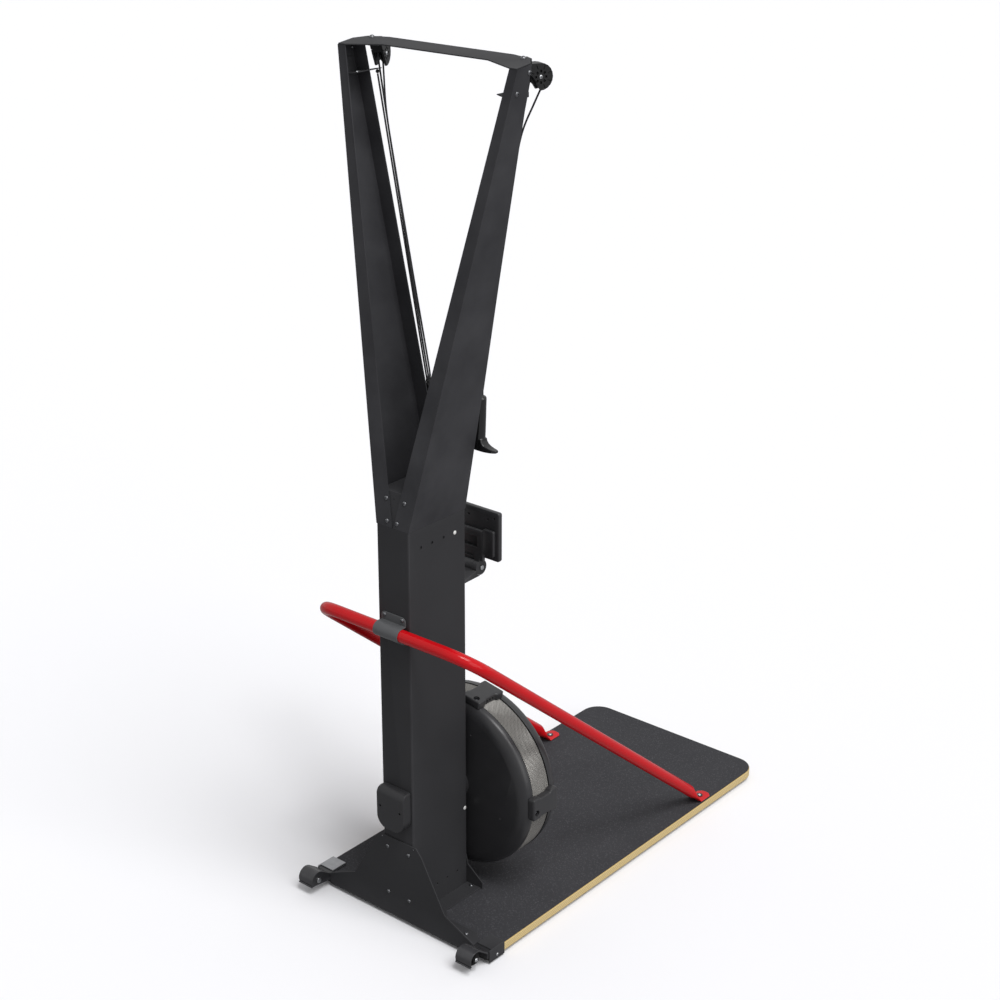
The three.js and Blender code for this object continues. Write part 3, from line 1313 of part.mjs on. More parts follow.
  const pinEnd = KNUCKLE_END + GAP;
  const pin = joined(
    rod("x", HINGE_PIN_RADIUS, -pinEnd, pinEnd, SMALL_SIDES),
    rod("x", HINGE_PIN_HEAD, pinEnd, pinEnd + HINGE_PIN_PAST, SMALL_SIDES),
    rod("x", HINGE_PIN_HEAD, -pinEnd - HINGE_PIN_PAST, -pinEnd, SMALL_SIDES),
  ).translate(0, BARREL_Y, BARREL_Z);
  addMesh("hinge_pin", pin, BRIGHT);
}

board();
feet();
basePlates();
transportWheels();
mast();
jointBox();
arms();
topCrossPlate();
pulleys();
cordGuides();
handles();
handleCords();
driveCords();
driveCover();
flywheel();
drum();
drumClips();
braceTube();
tubeClamp();
monitor();

// The part's origin is under the middle of its length, on the floor.
const rearmost = Math.min(MAST_REAR - GAP - COVER_DEPTH, -WHEEL_BACK - HOOD_RADIUS);
root.position.set(0, -(BOARD_FRONT + rearmost) / 2, -FLOOR_Z);

export default root;
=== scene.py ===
from math import cos, pi, radians, sin

import bmesh
import bpy
from mathutils import Matrix, Vector


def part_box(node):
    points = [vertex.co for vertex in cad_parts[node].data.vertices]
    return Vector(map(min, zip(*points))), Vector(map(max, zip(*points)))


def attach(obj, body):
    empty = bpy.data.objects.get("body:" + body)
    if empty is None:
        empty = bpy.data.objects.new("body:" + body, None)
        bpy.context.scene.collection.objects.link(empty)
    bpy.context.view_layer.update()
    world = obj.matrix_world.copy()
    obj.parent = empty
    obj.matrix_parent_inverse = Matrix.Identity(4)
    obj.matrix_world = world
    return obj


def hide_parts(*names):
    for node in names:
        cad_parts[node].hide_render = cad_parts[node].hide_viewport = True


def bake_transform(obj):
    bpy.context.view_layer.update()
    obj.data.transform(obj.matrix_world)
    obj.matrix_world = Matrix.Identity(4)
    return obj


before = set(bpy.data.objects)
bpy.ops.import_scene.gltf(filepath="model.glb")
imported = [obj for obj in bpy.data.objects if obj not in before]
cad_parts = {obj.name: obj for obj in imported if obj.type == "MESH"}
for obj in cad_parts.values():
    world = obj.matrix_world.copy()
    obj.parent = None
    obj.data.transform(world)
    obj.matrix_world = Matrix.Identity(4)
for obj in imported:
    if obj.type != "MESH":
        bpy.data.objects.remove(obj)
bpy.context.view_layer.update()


# The view
# The machine is looked down on from behind and from its right, from about five metres away, with a long lens.
# Places in this file are in millimetres from the middle of the board's rear edge, at the level of its mat.
REAR_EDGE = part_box("base_rear_plate")[0][1]
MAT_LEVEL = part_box("anti_slip_mat")[1][2]


def spot(x, y, z):
    return Vector((x / 1000, REAR_EDGE + y / 1000, MAT_LEVEL + z / 1000))


CAMERA_PLACE = (2938.6, -3108.5, 2895.1)
CAMERA_AIM = (-0.593968, 0.710122, -0.378060)
CAMERA_ROLL = radians(0.133)
LENS_LENGTH, SENSOR_WIDTH = 69.9, 36
FAR_SIGHT = 200
camera_data = bpy.data.cameras.new("photo_camera")
camera_data.lens = LENS_LENGTH
camera_data.sensor_width = SENSOR_WIDTH
camera_data.clip_end = FAR_SIGHT
camera = bpy.data.objects.new("photo_camera", camera_data)
aim = Vector(CAMERA_AIM).to_track_quat("-Z", "Y").to_matrix().to_4x4()
camera.matrix_world = Matrix.Translation(spot(*CAMERA_PLACE)) @ aim @ Matrix.Rotation(CAMERA_ROLL, 4, "Z")
bpy.context.scene.collection.objects.link(camera)
bpy.context.scene.camera = camera
bpy.context.scene.view_settings.view_transform = "Standard"


# The studio
# A white floor that fades into a white room. Soft light from above and from the right shapes the black paint, and
# a small bright lamp draws the sharp streaks along gloss and round tube.
def linear(code):
    """The linear colour of an sRGB hex code."""
    channels = [int(code[i:i + 2], 16) / 255 for i in (1, 3, 5)]
    return [c / 12.92 if c <= 0.04045 else ((c + 0.055) / 1.055) ** 2.4 for c in channels] + [1.0]


def add_node(tree, kind, inputs=(), **settings):
    """A new node. inputs maps a socket's name or number to a value, or to the output that is linked to it."""
    node = tree.nodes.new(kind)
    for name, value in settings.items():
        setattr(node, name, value)
    for key, value in dict(inputs).items():
        if isinstance(value, bpy.types.NodeSocket):
            tree.links.new(value, node.inputs[key])
        else:
            node.inputs[key].default_value = value
    return node


def new_object(name, mesh):
    obj = bpy.data.objects.new(name, mesh)
    bpy.context.scene.collection.objects.link(obj)
    return obj


ROOM_LIGHT = 0.42
MIRROR_SHARE = 0.5
BACKGROUND = 1.0
world = bpy.data.worlds.new("white_room")
world.use_nodes = True
bpy.context.scene.world = world
room = world.node_tree
room.nodes.clear()
path = add_node(room, "ShaderNodeLightPath")
through = add_node(room, "ShaderNodeMath", {0: path.outputs["Is Camera Ray"], 1: path.outputs["Is Transmission Ray"]},
                   operation="MAXIMUM")
mirrored = add_node(room, "ShaderNodeMath", {0: path.outputs["Is Glossy Ray"], 1: MIRROR_SHARE}, operation="MULTIPLY")
seen = add_node(room, "ShaderNodeMath", {0: through.outputs[0], 1: mirrored.outputs[0]}, operation="MAXIMUM")
soft = add_node(room, "ShaderNodeBackground", {"Color": linear("#ffffff"), "Strength": ROOM_LIGHT})
bright = add_node(room, "ShaderNodeBackground", {"Color": linear("#ffffff"), "Strength": BACKGROUND})
sky = add_node(room, "ShaderNodeMixShader", {0: seen.outputs[0], 1: soft.outputs[0], 2: bright.outputs[0]})
add_node(room, "ShaderNodeOutputWorld", {0: sky.outputs[0]})

FLOOR_HALF = 60
FLOOR_BOUNCE, FLOOR_SEEN = "#a4a4a6", "#fafafd"
floor_mesh = bpy.data.meshes.new("floor")
floor_mesh.from_pydata([(-FLOOR_HALF, -FLOOR_HALF, 0), (FLOOR_HALF, -FLOOR_HALF, 0), (FLOOR_HALF, FLOOR_HALF, 0),
                        (-FLOOR_HALF, FLOOR_HALF, 0)], [], [(0, 1, 2, 3)])
floor = new_object("floor", floor_mesh)
floor_paint = bpy.data.materials.new("white_floor")
floor_paint.use_nodes = True
floor_shader = floor_paint.node_tree.nodes["Principled BSDF"]
floor_path = add_node(floor_paint.node_tree, "ShaderNodeLightPath")
# The camera sees it white, while it throws only a part of its light back up at the machine.
floor_tone = add_node(floor_paint.node_tree, "ShaderNodeMix", {0: floor_path.outputs["Is Camera Ray"],
                                                               6: linear(FLOOR_BOUNCE), 7: linear(FLOOR_SEEN)},
                      data_type="RGBA")
floor_paint.node_tree.links.new(floor_tone.outputs[2], floor_shader.inputs["Base Color"])
floor_shader.inputs["Roughness"].default_value = 0.9
floor_shader.inputs["Specular IOR Level"].default_value = 0.0
floor.data.materials.append(floor_paint)

# Each lamp's direction from the machine, its strength, and how wide it stands in the sky, in degrees.
LAMPS = {"overhead": ((0.55, -0.08, 1.0), 1.7, 35), "right_side": ((1.0, -0.05, 0.2), 0.75, 50),
         "streak": ((0.4, -0.2, 1.0), 0.35, 7)}
for lamp_name, (toward, strength, spread) in LAMPS.items():
    lamp_data = bpy.data.lights.new(lamp_name, "SUN")
    lamp_data.energy = strength
    lamp_data.angle = radians(spread)
    lamp = bpy.data.objects.new(lamp_name, lamp_data)
    lamp.rotation_euler = (-Vector(toward)).to_track_quat("-Z", "Y").to_euler()
    bpy.context.scene.collection.objects.link(lamp)


# Floor board
# Birch plywood with lacquered edges, so its plies show as thin light and dark lines all round. Its rear end is
# painted black, and a black anti-slip mat with a pale fleck is glued on top.
FLAT = radians(0.5)
WELD = 1e-5
# A face is shaded smooth when this share of its outline bends on. Small faces need less of it.
CURVED_SHARE = 0.45
SMALL_CURVED_SHARE = 0.2
SMALL_FACE = 3e-4


def new_finish(name):
    """A material, its tree and its shader."""
    material = bpy.data.materials.new(name)
    material.use_nodes = True
    return material, material.node_tree, material.node_tree.nodes["Principled BSDF"]


def shaded(mesh, sharp=32):
    """Smooth shading on the strips of a curve only, so that a flat face stays even beside a rounded corner."""
    work = bmesh.new()
    work.from_mesh(mesh)
    for edge in work.edges:
        edge.smooth = edge.is_manifold and edge.calc_face_angle(pi) < radians(sharp)
    for face in work.faces:
        bent = sum(e.calc_length() for e in face.edges if e.smooth and e.calc_face_angle(0) > FLAT)
        share = bent / max(sum(e.calc_length() for e in face.edges), WELD)
        face.smooth = share > CURVED_SHARE or (share > SMALL_CURVED_SHARE and face.calc_area() < SMALL_FACE)
    work.to_mesh(mesh)
    work.free()


def solids(name, parts, placing=Matrix.Identity(4)):
    """One mesh of blocks (low, high) and rods (start, end, radius, sides), in millimetres, put in its place."""
    work = bmesh.new()
    for part in parts:
        low, high = Vector(part[0]), Vector(part[1])
        middle = Matrix.Translation((low + high) / 2)
        if len(part) == 2:
            bmesh.ops.create_cube(work, size=1, matrix=middle @ Matrix.Diagonal((*(high - low), 1)))
        else:
            turn = (high - low).to_track_quat("Z", "Y").to_matrix().to_4x4()
            bmesh.ops.create_cone(work, cap_ends=True, segments=part[3], radius1=part[2], radius2=part[2],
                                  depth=(high - low).length, matrix=middle @ turn)
    to_frame = Matrix.Translation(spot(0, 0, 0)) @ Matrix.Scale(0.001, 4)
    bmesh.ops.transform(work, matrix=to_frame @ placing, verts=work.verts)
    if placing.determinant() < 0:
        bmesh.ops.reverse_faces(work, faces=work.faces)
    mesh = bpy.data.meshes.new(name)
    work.to_mesh(mesh)
    work.free()
    return mesh


def applied(obj):
    """The object with its modifiers made into its mesh."""
    mesh = bpy.data.meshes.new_from_object(obj.evaluated_get(bpy.context.evaluated_depsgraph_get()))
    obj.modifiers.clear()
    obj.data = mesh
    return obj


def carved(obj, cutter):
    """The object with another mesh cut out of it."""
    tool = new_object("cutter", cutter)
    cut = obj.modifiers.new("cut", "BOOLEAN")
    cut.object = tool
    cut.operation = "DIFFERENCE"
    cut.solver = "EXACT"
    cut.use_self = True
    applied(obj)
    bpy.data.objects.remove(tool)
    return obj


def finish(obj, material, body="frame", nodes=()):
    """Puts a finish on a piece, and says what it rides on and which CAD nodes it stands for."""
    obj.data.materials.clear()
    obj.data.materials.append(material)
    if nodes:
        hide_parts(*nodes)
    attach(obj, body)
    return obj


def copied(node):
    """A copy of a CAD node with its loose triangles joined and its flat faces made whole."""
    work = bmesh.new()
    work.from_mesh(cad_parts[node].data)
    bmesh.ops.remove_doubles(work, verts=work.verts, dist=WELD)
    bmesh.ops.dissolve_limit(work, angle_limit=FLAT, verts=work.verts, edges=work.edges)
    mesh = bpy.data.meshes.new(node)
    work.to_mesh(mesh)
    work.free()
    return new_object(f"{node}_finished", mesh)


def dressed(node, material, body="frame", rounding=0.8, sharp=32, cutter=None, added=None):
    """A copy of a CAD node, carved or added to, with its edges rounded and its finish put on."""
    obj = copied(node)
    if cutter:
        carved(obj, cutter)
    if added:
        work = bmesh.new()
        work.from_mesh(obj.data)
        work.from_mesh(added)
        work.to_mesh(obj.data)
        work.free()
    shaded(obj.data, sharp)
    if rounding:
        bevel = obj.modifiers.new("rounded_edges", "BEVEL")
        bevel.width = rounding / 1000
        bevel.segments = 2
        bevel.limit_method = "ANGLE"
        bevel.angle_limit = radians(sharp)
        bevel.use_clamp_overlap = True
    return finish(obj, material, body, [node])


def moulded(obj, grid, passes):
    """The object with every edge melted round, as a mould leaves it, on a grid of that many millimetres."""
    skin = obj.modifiers.new("skin", "REMESH")
    skin.mode = "VOXEL"
    skin.voxel_size = grid / 1000
    soften = obj.modifiers.new("soften", "SMOOTH")
    soften.factor = 0.5
    soften.iterations = passes
    applied(obj)
    obj.data.shade_smooth()
    return obj


BOARD_THICK, PLY_COUNT = 22, 9
PLY_THICKNESS = BOARD_THICK / PLY_COUNT
PAINT_ENDS = 68
WOOD_STREAKS, WOOD_STRETCH = 90.0, 14.0
GLUE_WIDTH, GLUE_STRENGTH = 0.1, 0.45
WOOD_PORES = 0.0003
plywood, tree, shader = new_finish("lacquered_birch_plywood")
# Thin dark glue lines between pale plies, with end grain streaks: the eye reads it as real plywood, not MDF.
place = add_node(tree, "ShaderNodeTexCoord")
axes = add_node(tree, "ShaderNodeSeparateXYZ", {0: place.outputs["Object"]})
ply = add_node(tree, "ShaderNodeMath", {0: axes.outputs["Z"], 1: 1000 / PLY_THICKNESS}, operation="MULTIPLY")
ply_share = add_node(tree, "ShaderNodeMath", {0: ply.outputs[0]}, operation="FRACT")
alternate = add_node(tree, "ShaderNodeMath", {0: ply.outputs[0], 1: 2.0}, operation="FLOORED_MODULO")
darker = add_node(tree, "ShaderNodeMath", {0: alternate.outputs[0], 1: 1.0}, operation="GREATER_THAN")
streaks_map = add_node(tree, "ShaderNodeMapping", {"Vector": place.outputs["Object"],
                                                    "Scale": (1.0, 1.0, WOOD_STRETCH)})
streaks = add_node(tree, "ShaderNodeTexNoise", {"Vector": streaks_map.outputs[0], "Scale": WOOD_STREAKS,
                                                "Detail": 6.0})
wood_tone = add_node(tree, "ShaderNodeMix", {0: streaks.outputs[0], 6: linear("#d6bd80"), 7: linear("#f0e0b4")},
                     data_type="RGBA")
ply_tone = add_node(tree, "ShaderNodeMix", {0: darker.outputs[0], 6: wood_tone.outputs[2], 7: linear("#cdb072")},
                    data_type="RGBA")
glue = add_node(tree, "ShaderNodeMath", {0: ply_share.outputs[0], 1: GLUE_WIDTH}, operation="LESS_THAN")
glue_share = add_node(tree, "ShaderNodeMath", {0: glue.outputs[0], 1: GLUE_STRENGTH}, operation="MULTIPLY")
edge_tone = add_node(tree, "ShaderNodeMix", {0: glue_share.outputs[0], 6: ply_tone.outputs[2], 7: linear("#8d6f3f")},
                     data_type="RGBA")
painted = add_node(tree, "ShaderNodeMath", {0: axes.outputs["Y"], 1: spot(0, PAINT_ENDS, 0)[1]},
                   operation="LESS_THAN")
board_tone = add_node(tree, "ShaderNodeMix", {0: painted.outputs[0], 6: edge_tone.outputs[2], 7: linear("#141415")},
                      data_type="RGBA")
tree.links.new(board_tone.outputs[2], shader.inputs["Base Color"])
pores = add_node(tree, "ShaderNodeBump", {"Height": streaks.outputs[0], "Distance": WOOD_PORES, "Strength": 0.6})
tree.links.new(pores.outputs[0], shader.inputs["Normal"])
shader.inputs["Roughness"].default_value = 0.5
dressed("base_board", plywood, rounding=1.5)

POLYMER_IOR = 1.5
PEBBLE, PEBBLE_DEPTH, DUST_SCALE = 2.6, 0.0004, 7.0
FLECK_FROM, FLECK_SHARE = 0.8, 0.16
mat_rubber, tree, shader = new_finish("flecked_rubber_mat")
# Fine pebbled grain with pale flecks, drawn at 2.6 mm so that they show: it looks like a gym floor and not like
# painted board.
place = add_node(tree, "ShaderNodeTexCoord")
pebbles = add_node(tree, "ShaderNodeTexVoronoi", {"Vector": place.outputs["Object"], "Scale": 1000 / PEBBLE})
dust = add_node(tree, "ShaderNodeTexNoise", {"Vector": place.outputs["Object"], "Scale": DUST_SCALE,
                                             "Detail": 6.0})
tone = add_node(tree, "ShaderNodeMix", {0: dust.outputs[0], 6: linear("#363639"), 7: linear("#414144")},
                data_type="RGBA")
chosen = add_node(tree, "ShaderNodeSeparateColor", {0: pebbles.outputs["Color"]})
fleck = add_node(tree, "ShaderNodeMapRange", {0: chosen.outputs[0], 1: FLECK_FROM, 2: 1.0, 3: 0.0,
                                               4: FLECK_SHARE})
flecked = add_node(tree, "ShaderNodeMix", {0: fleck.outputs[0], 6: tone.outputs[2], 7: linear("#86868b")},
                   data_type="RGBA")
tree.links.new(flecked.outputs[2], shader.inputs["Base Color"])
grain = add_node(tree, "ShaderNodeBump", {"Height": pebbles.outputs[0], "Distance": PEBBLE_DEPTH,
                                          "Strength": 0.7})
tree.links.new(grain.outputs[0], shader.inputs["Normal"])
shader.inputs["Roughness"].default_value = 0.75
shader.inputs["IOR"].default_value = POLYMER_IOR
shader.inputs["Specular IOR Level"].default_value = 0.12
dressed("anti_slip_mat", mat_rubber, rounding=0.8)


# Rubber feet
# Four moulded rubber pads screwed under the board. They are matt black and a little dusty.
# Where sharp edges turn paler: partly wear, partly a painted highlight that stands in for light on the edges.
EDGE_HIGHLIGHT_FROM, EDGE_HIGHLIGHT_TO, EDGE_HIGHLIGHT_MOST = 0.53, 0.62, 0.75


def speckled(name, dark, light, roughness, mottle, grain, depth, edge_wear_and_highlight=None, shine=0.5, metal=0.0):
    """A mottled finish with a grain in millimetres, and edges painted another colour as wear and painted highlight.
    """
    material, tree, shader = new_finish(name)
    place = add_node(tree, "ShaderNodeTexCoord")
    spread = add_node(tree, "ShaderNodeTexNoise",
                      {"Vector": place.outputs["Object"], "Scale": 1000 / mottle, "Detail": 4.0})
    tone = add_node(tree, "ShaderNodeMix", {0: spread.outputs[0], 6: linear(dark), 7: linear(light)},
                    data_type="RGBA")
    colour = tone.outputs[2]
    # Sharp edges are painted toward another colour: partly wear, partly a painted highlight.
    if edge_wear_and_highlight:
        edges = add_node(tree, "ShaderNodeNewGeometry")
        rubbed_and_lit_edges = add_node(tree, "ShaderNodeMapRange", {0: edges.outputs["Pointiness"], 1: EDGE_HIGHLIGHT_FROM,
                                                       2: EDGE_HIGHLIGHT_TO, 3: 0.0, 4: EDGE_HIGHLIGHT_MOST})
        patchy_edge_highlight = add_node(tree, "ShaderNodeMath", {0: rubbed_and_lit_edges.outputs[0], 1: spread.outputs[0]},
                          operation="MULTIPLY")
        worn_and_lit = add_node(tree, "ShaderNodeMix", {0: patchy_edge_highlight.outputs[0], 6: colour, 7: linear(edge_wear_and_highlight)},
                        data_type="RGBA")
        colour = worn_and_lit.outputs[2]
    tree.links.new(colour, shader.inputs["Base Color"])
    gloss = add_node(tree, "ShaderNodeMapRange", {0: spread.outputs[0], 1: 0.3, 2: 0.7, 3: roughness * 0.88,
                                                  4: roughness * 1.12})
    tree.links.new(gloss.outputs[0], shader.inputs["Roughness"])
    fine = add_node(tree, "ShaderNodeTexNoise",
                    {"Vector": place.outputs["Object"], "Scale": 1000 / grain, "Detail": 2.0})
    bump = add_node(tree, "ShaderNodeBump", {"Height": fine.outputs[0], "Distance": depth / 1000, "Strength": 0.5})
    tree.links.new(bump.outputs[0], shader.inputs["Normal"])
    shader.inputs["Metallic"].default_value = metal
    if not metal:
        shader.inputs["IOR"].default_value = POLYMER_IOR
        shader.inputs["Specular IOR Level"].default_value = shine
    return material


# Matt and slightly grey, as moulded rubber is once it has gathered dust.
rubber = speckled("moulded_rubber", "#111112", "#1b1b1c", 0.8, 25, 1.2, 0.15, shine=0.3)
for end in ("front", "rear"):
    for side in ("left", "right"):
        dressed(f"rubber_foot_{end}_{side}", rubber, rounding=1.5)


# Base plates
# Three bent steel plates with a satin black powder coat: one behind the board's edge, one flat under the mast, and
# one in front of it. Blackened button head screws hold them together.
# The coat has a fine orange peel, and its edges are painted a lighter grey: partly wear, partly painted highlight.
powder_coat = speckled("black_powder_coat", "#343436", "#3a3a3c", 0.5, 120, 1.6, 0.08, edge_wear_and_highlight="#5c5c5f", shine=0.09)
for node in ("base_rear_plate", "base_foot_plate", "base_front_plate"):
    dressed(node, powder_coat)

# Pale blue-grey plating with fine turning marks: small bright points against the black paint.
bright_steel = speckled("zinc_plated_steel", "#b4b6b9", "#d8dadc", 0.3, 4, 1.0, 0.02, metal=1.0)
# Blackened steel for the structural bolts: grey where the light strikes, near black elsewhere.
black_steel = speckled("blackened_steel", "#66676a", "#8a8b8e", 0.32, 5, 1.0, 0.03, metal=1.0)


def group(name, inputs):
    """A Geometry Nodes tree with named inputs, and what its input node gives."""
    tree = bpy.data.node_groups.new(name, "GeometryNodeTree")
    tree.interface.new_socket("Geometry", in_out="INPUT", socket_type="NodeSocketGeometry")
    for label, kind in inputs.items():
        tree.interface.new_socket(label, in_out="INPUT", socket_type=f"NodeSocket{kind}")
    tree.interface.new_socket("Geometry", in_out="OUTPUT", socket_type="NodeSocketGeometry")
    return tree, add_node(tree, "NodeGroupInput").outputs


def screw_head_tree():
    """Button heads with a hexagon socket, one on each point, facing the way the point's facing attribute says."""
    tree, given = group("button_head_screws", {"Head Radius": "Float", "Head Height": "Float",
                                               "Socket Radius": "Float", "Socket Depth": "Float",
                                               "Material": "Material"})
    flat = add_node(tree, "ShaderNodeMath", {0: given["Head Height"], 1: given["Head Radius"]}, operation="DIVIDE")
    squeeze = add_node(tree, "ShaderNodeCombineXYZ", {0: 1.0, 1: 1.0, 2: flat.outputs[0]})
    ball = add_node(tree, "GeometryNodeMeshUVSphere",
                    {"Segments": 20, "Rings": 12, "Radius": given["Head Radius"]})
    dome = add_node(tree, "GeometryNodeTransform", {"Geometry": ball.outputs[0], "Scale": squeeze.outputs[0]})
    deep = add_node(tree, "ShaderNodeMath", {0: given["Socket Depth"], 1: 2.0}, operation="MULTIPLY")
    hexagon = add_node(tree, "GeometryNodeMeshCylinder",
                       {"Vertices": 6, "Radius": given["Socket Radius"], "Depth": deep.outputs[0]})
    top = add_node(tree, "ShaderNodeCombineXYZ", {0: 0.0, 1: 0.0, 2: given["Head Height"]})
    key = add_node(tree, "GeometryNodeTransform", {"Geometry": hexagon.outputs[0], "Translation": top.outputs[0]})
    head = add_node(tree, "GeometryNodeMeshBoolean", {0: dome.outputs[0], 1: key.outputs[0]},
                    operation="DIFFERENCE")
    facing = add_node(tree, "GeometryNodeInputNamedAttribute", {"Name": "facing"}, data_type="FLOAT_VECTOR")
    turn = add_node(tree, "FunctionNodeAlignRotationToVector", {"Vector": facing.outputs[0]}, axis="Z")
    placed = add_node(tree, "GeometryNodeInstanceOnPoints",
                      {"Points": given["Geometry"], "Instance": head.outputs[0], "Rotation": turn.outputs[0]})
    real = add_node(tree, "GeometryNodeRealizeInstances", {0: placed.outputs[0]})
    painted = add_node(tree, "GeometryNodeSetMaterial", {"Geometry": real.outputs[0], "Material": given["Material"]})
    add_node(tree, "NodeGroupOutput", {0: painted.outputs[0]})
    return tree


def grown(name, mesh, tree, inputs, body, nodes=()):
    """The plain mesh that a Geometry Nodes tree makes of a mesh, riding on a body."""
    seed = new_object(name, mesh)
    modifier = seed.modifiers.new("nodes", "NODES")
    modifier.node_group = tree
    for item in tree.interface.items_tree:
        if item.item_type == "SOCKET" and item.in_out == "INPUT" and item.name in inputs:
            modifier[item.identifier] = inputs[item.name]
    applied(seed)
    shaded(seed.data, 35)
    return finish(seed, inputs["Material"], body, nodes)


SCREW_HEADS = screw_head_tree()
BACKWARD, UPWARD = (0, -1, 0), (0, 0, 1)
SIGNS = (-1, 1)
SIDES = {"left": -1, "right": 1}


def outward(sign):
    return (sign, 0, 0)


def screws(name, places, radius=5.6, height=3.2, socket=2.9, depth=2.2, body="frame",
           material=bright_steel):
    """Screw heads at points, given as (x, y, z, facing) in millimetres."""
    mesh = bpy.data.meshes.new(name)
    mesh.from_pydata([tuple(spot(x, y, z)) for x, y, z, _ in places], [], [])
    attribute = mesh.attributes.new("facing", "FLOAT_VECTOR", "POINT")
    attribute.data.foreach_set("vector", [c for place in places for c in place[3]])
    sizes = {"Head Radius": radius / 1000, "Head Height": height / 1000, "Socket Radius": socket / 1000,
             "Socket Depth": depth / 1000, "Material": material}
    return grown(name, mesh, SCREW_HEADS, sizes, body)


REAR_SCREWS_OUT, REAR_SCREW_LEVELS = 36, (179, 42)
REAR_PIN_OUT, REAR_PIN_LEVEL = 54, 203
FOOT_SCREWS, FOOT_PLATE_TOP = ((72, 203), (205.5, 29)), 3.3
screws("base_plate_screws", [(sign * REAR_SCREWS_OUT, 0, z, BACKWARD) for sign in SIGNS for z in REAR_SCREW_LEVELS],
       material=black_steel)
screws("base_plate_pins", [(sign * REAR_PIN_OUT, 0, REAR_PIN_LEVEL, BACKWARD) for sign in SIGNS], radius=1.8,
       height=0.8, socket=0.8, depth=0.4, material=black_steel)
screws("foot_plate_screws", [(sign * x, y, FOOT_PLATE_TOP, UPWARD) for sign in SIGNS for x, y in FOOT_SCREWS],
       material=black_steel)


# Transport corners
# On each rear corner a satin moulded guard with an arch over a small rubber wheel. The wheel turns on a bright axle
# that ends in a black hub. A bent steel bracket clamps the guard to the board; the left one is a painted reflection
# in pale grey.
# Satin black ABS: dark, with soft streaks along its ridges.
# Its edges are painted paler: partly wear, partly painted highlight.
guard_abs = speckled("satin_black_abs", "#2b2b2d", "#323234", 0.24, 30, 2.5, 0.01, edge_wear_and_highlight="#77777b", shine=0.4)
# Pale grey metal with a dull spangle, painted as a reflection: a pale plate that stands out from all the black.
reflection_pale_steel = speckled("painted_reflection_steel", "#8f9093", "#b2b3b6", 0.42, 14, 1.4, 0.05, metal=0.6)
AXLE_Y, AXLE_Z = -42, 5
LIP_FROM, LIP_TO = (252, AXLE_Y - 25.4, AXLE_Z - 14), (302, AXLE_Y - 22.6, AXLE_Z - 9.5)
HUB_FROM, HUB_STEP, HUB_END = 296.4, 299.6, 300.8
HUB_RADIUS, HUB_NOSE_RADIUS = 10.5, 8.6
BRACKET_SCREW = (302.6, 37, -19)
for side, sign in SIDES.items():
    inner, outer = sorted((sign * LIP_FROM[0], sign * LIP_TO[0]))
    lip = solids(f"guard_lip_{side}", [((inner, *LIP_FROM[1:]), (outer, *LIP_TO[1:]))])
    dressed(f"wheel_guard_{side}", guard_abs, rounding=1.6, added=lip)
    dressed(f"transport_wheel_{side}", rubber, f"wheel_{side}_body", rounding=0.6)
    dressed(f"wheel_axle_{side}", bright_steel, rounding=1.2)
    root, step, tip = ((sign * x, AXLE_Y, AXLE_Z) for x in (HUB_FROM, HUB_STEP, HUB_END))
    hub = solids(f"wheel_hub_{side}", [(root, step, HUB_RADIUS, 32), (step, tip, HUB_NOSE_RADIUS, 32)])
    finish(new_object(f"wheel_hub_{side}", hub), rubber)
screws("wheel_axle_ends", [(sign * HUB_END, AXLE_Y, AXLE_Z, outward(sign)) for sign in SIGNS], radius=5.6,
       height=2.2, socket=1, depth=0.2)
# The left bracket is painted pale grey as a reflection; the right one keeps the black coat.
dressed("wheel_bracket_left", reflection_pale_steel, rounding=1.2)
dressed("wheel_bracket_right", powder_coat, rounding=1.2)
screws("bracket_screws", [(sign * BRACKET_SCREW[0], *BRACKET_SCREW[1:], outward(sign)) for sign in SIGNS],
       radius=4.6, height=2.4)


# Mast
# A folded steel box, powder coated, with rows of bolt holes near its foot and its top on both sides. White caps
# close the two holes of each side that carry the drive's cross bolts.
# Plain moulded nylon, a little grey: four small white dots on the black mast.
white_nylon = speckled("white_nylon", "#dcdcda", "#ececea", 0.4, 6, 1.2, 0.03)
dressed("mast", powder_coat, rounding=0.7)
MAST_SIDE = 52
CROSS_BOLTS = ((170.6, 1025.3), (202.2, 232.9))
SIDE_CAPS = [(sign * MAST_SIDE, y, z, outward(sign)) for sign in SIGNS for y, z in CROSS_BOLTS]
screws("mast_side_caps", SIDE_CAPS, radius=5.2, height=2.0, socket=1.3, depth=0.5,
       material=white_nylon)


# Joint box and arms
# The two arms are folded channels that lean apart. Their feet are bolted to a box inside the mast's top, and a
# bent plate joins their tops.
# The mast's powder coat, painted darker for the arms as a painted shade: the arms read a shade darker against the
# white.
shaded_arm_coat = speckled("shaded_black_powder_coat", "#27272a", "#2c2c2f", 0.5, 120, 1.6, 0.08, edge_wear_and_highlight="#565659", shine=0.09)
dressed("joint_box", powder_coat)
for side in SIDES:
    dressed(f"arm_{side}", shaded_arm_coat, rounding=0.7)
dressed("top_cross_plate", powder_coat, rounding=0.7)

MAST_HEAD = 1076.5
ARM_LEAN_OUT, ARM_LEAN_BACK = 0.1977, 0.1226
ARM_REAR_FOOT = 3.3
ARM_BACK = (0, -1, ARM_LEAN_BACK)
ARM_FOOT_SCREWS = ((-25.6, 1146), (33.3, 1146), (-18.3, 1091), (13.9, 1091))
JOINT_BOX_SCREW = (7.7, 3.6, 1154)
WEB_BOLTS, WEB_THICK = ((182, 2163), (150, 2120)), 3.1
PLATE_BOLT, PLATE_LEAN = (227, 208.9, 2186.4), (0, -0.13, 1)


def arm_side(z):
    """How far out the arm's side face is, at a height."""
    return MAST_SIDE + ARM_LEAN_OUT * (z - MAST_HEAD)


def arm_back(z):
    """How far forward the arm's rear face is, at a height."""
    return ARM_REAR_FOOT + ARM_LEAN_BACK * (z - MAST_HEAD)


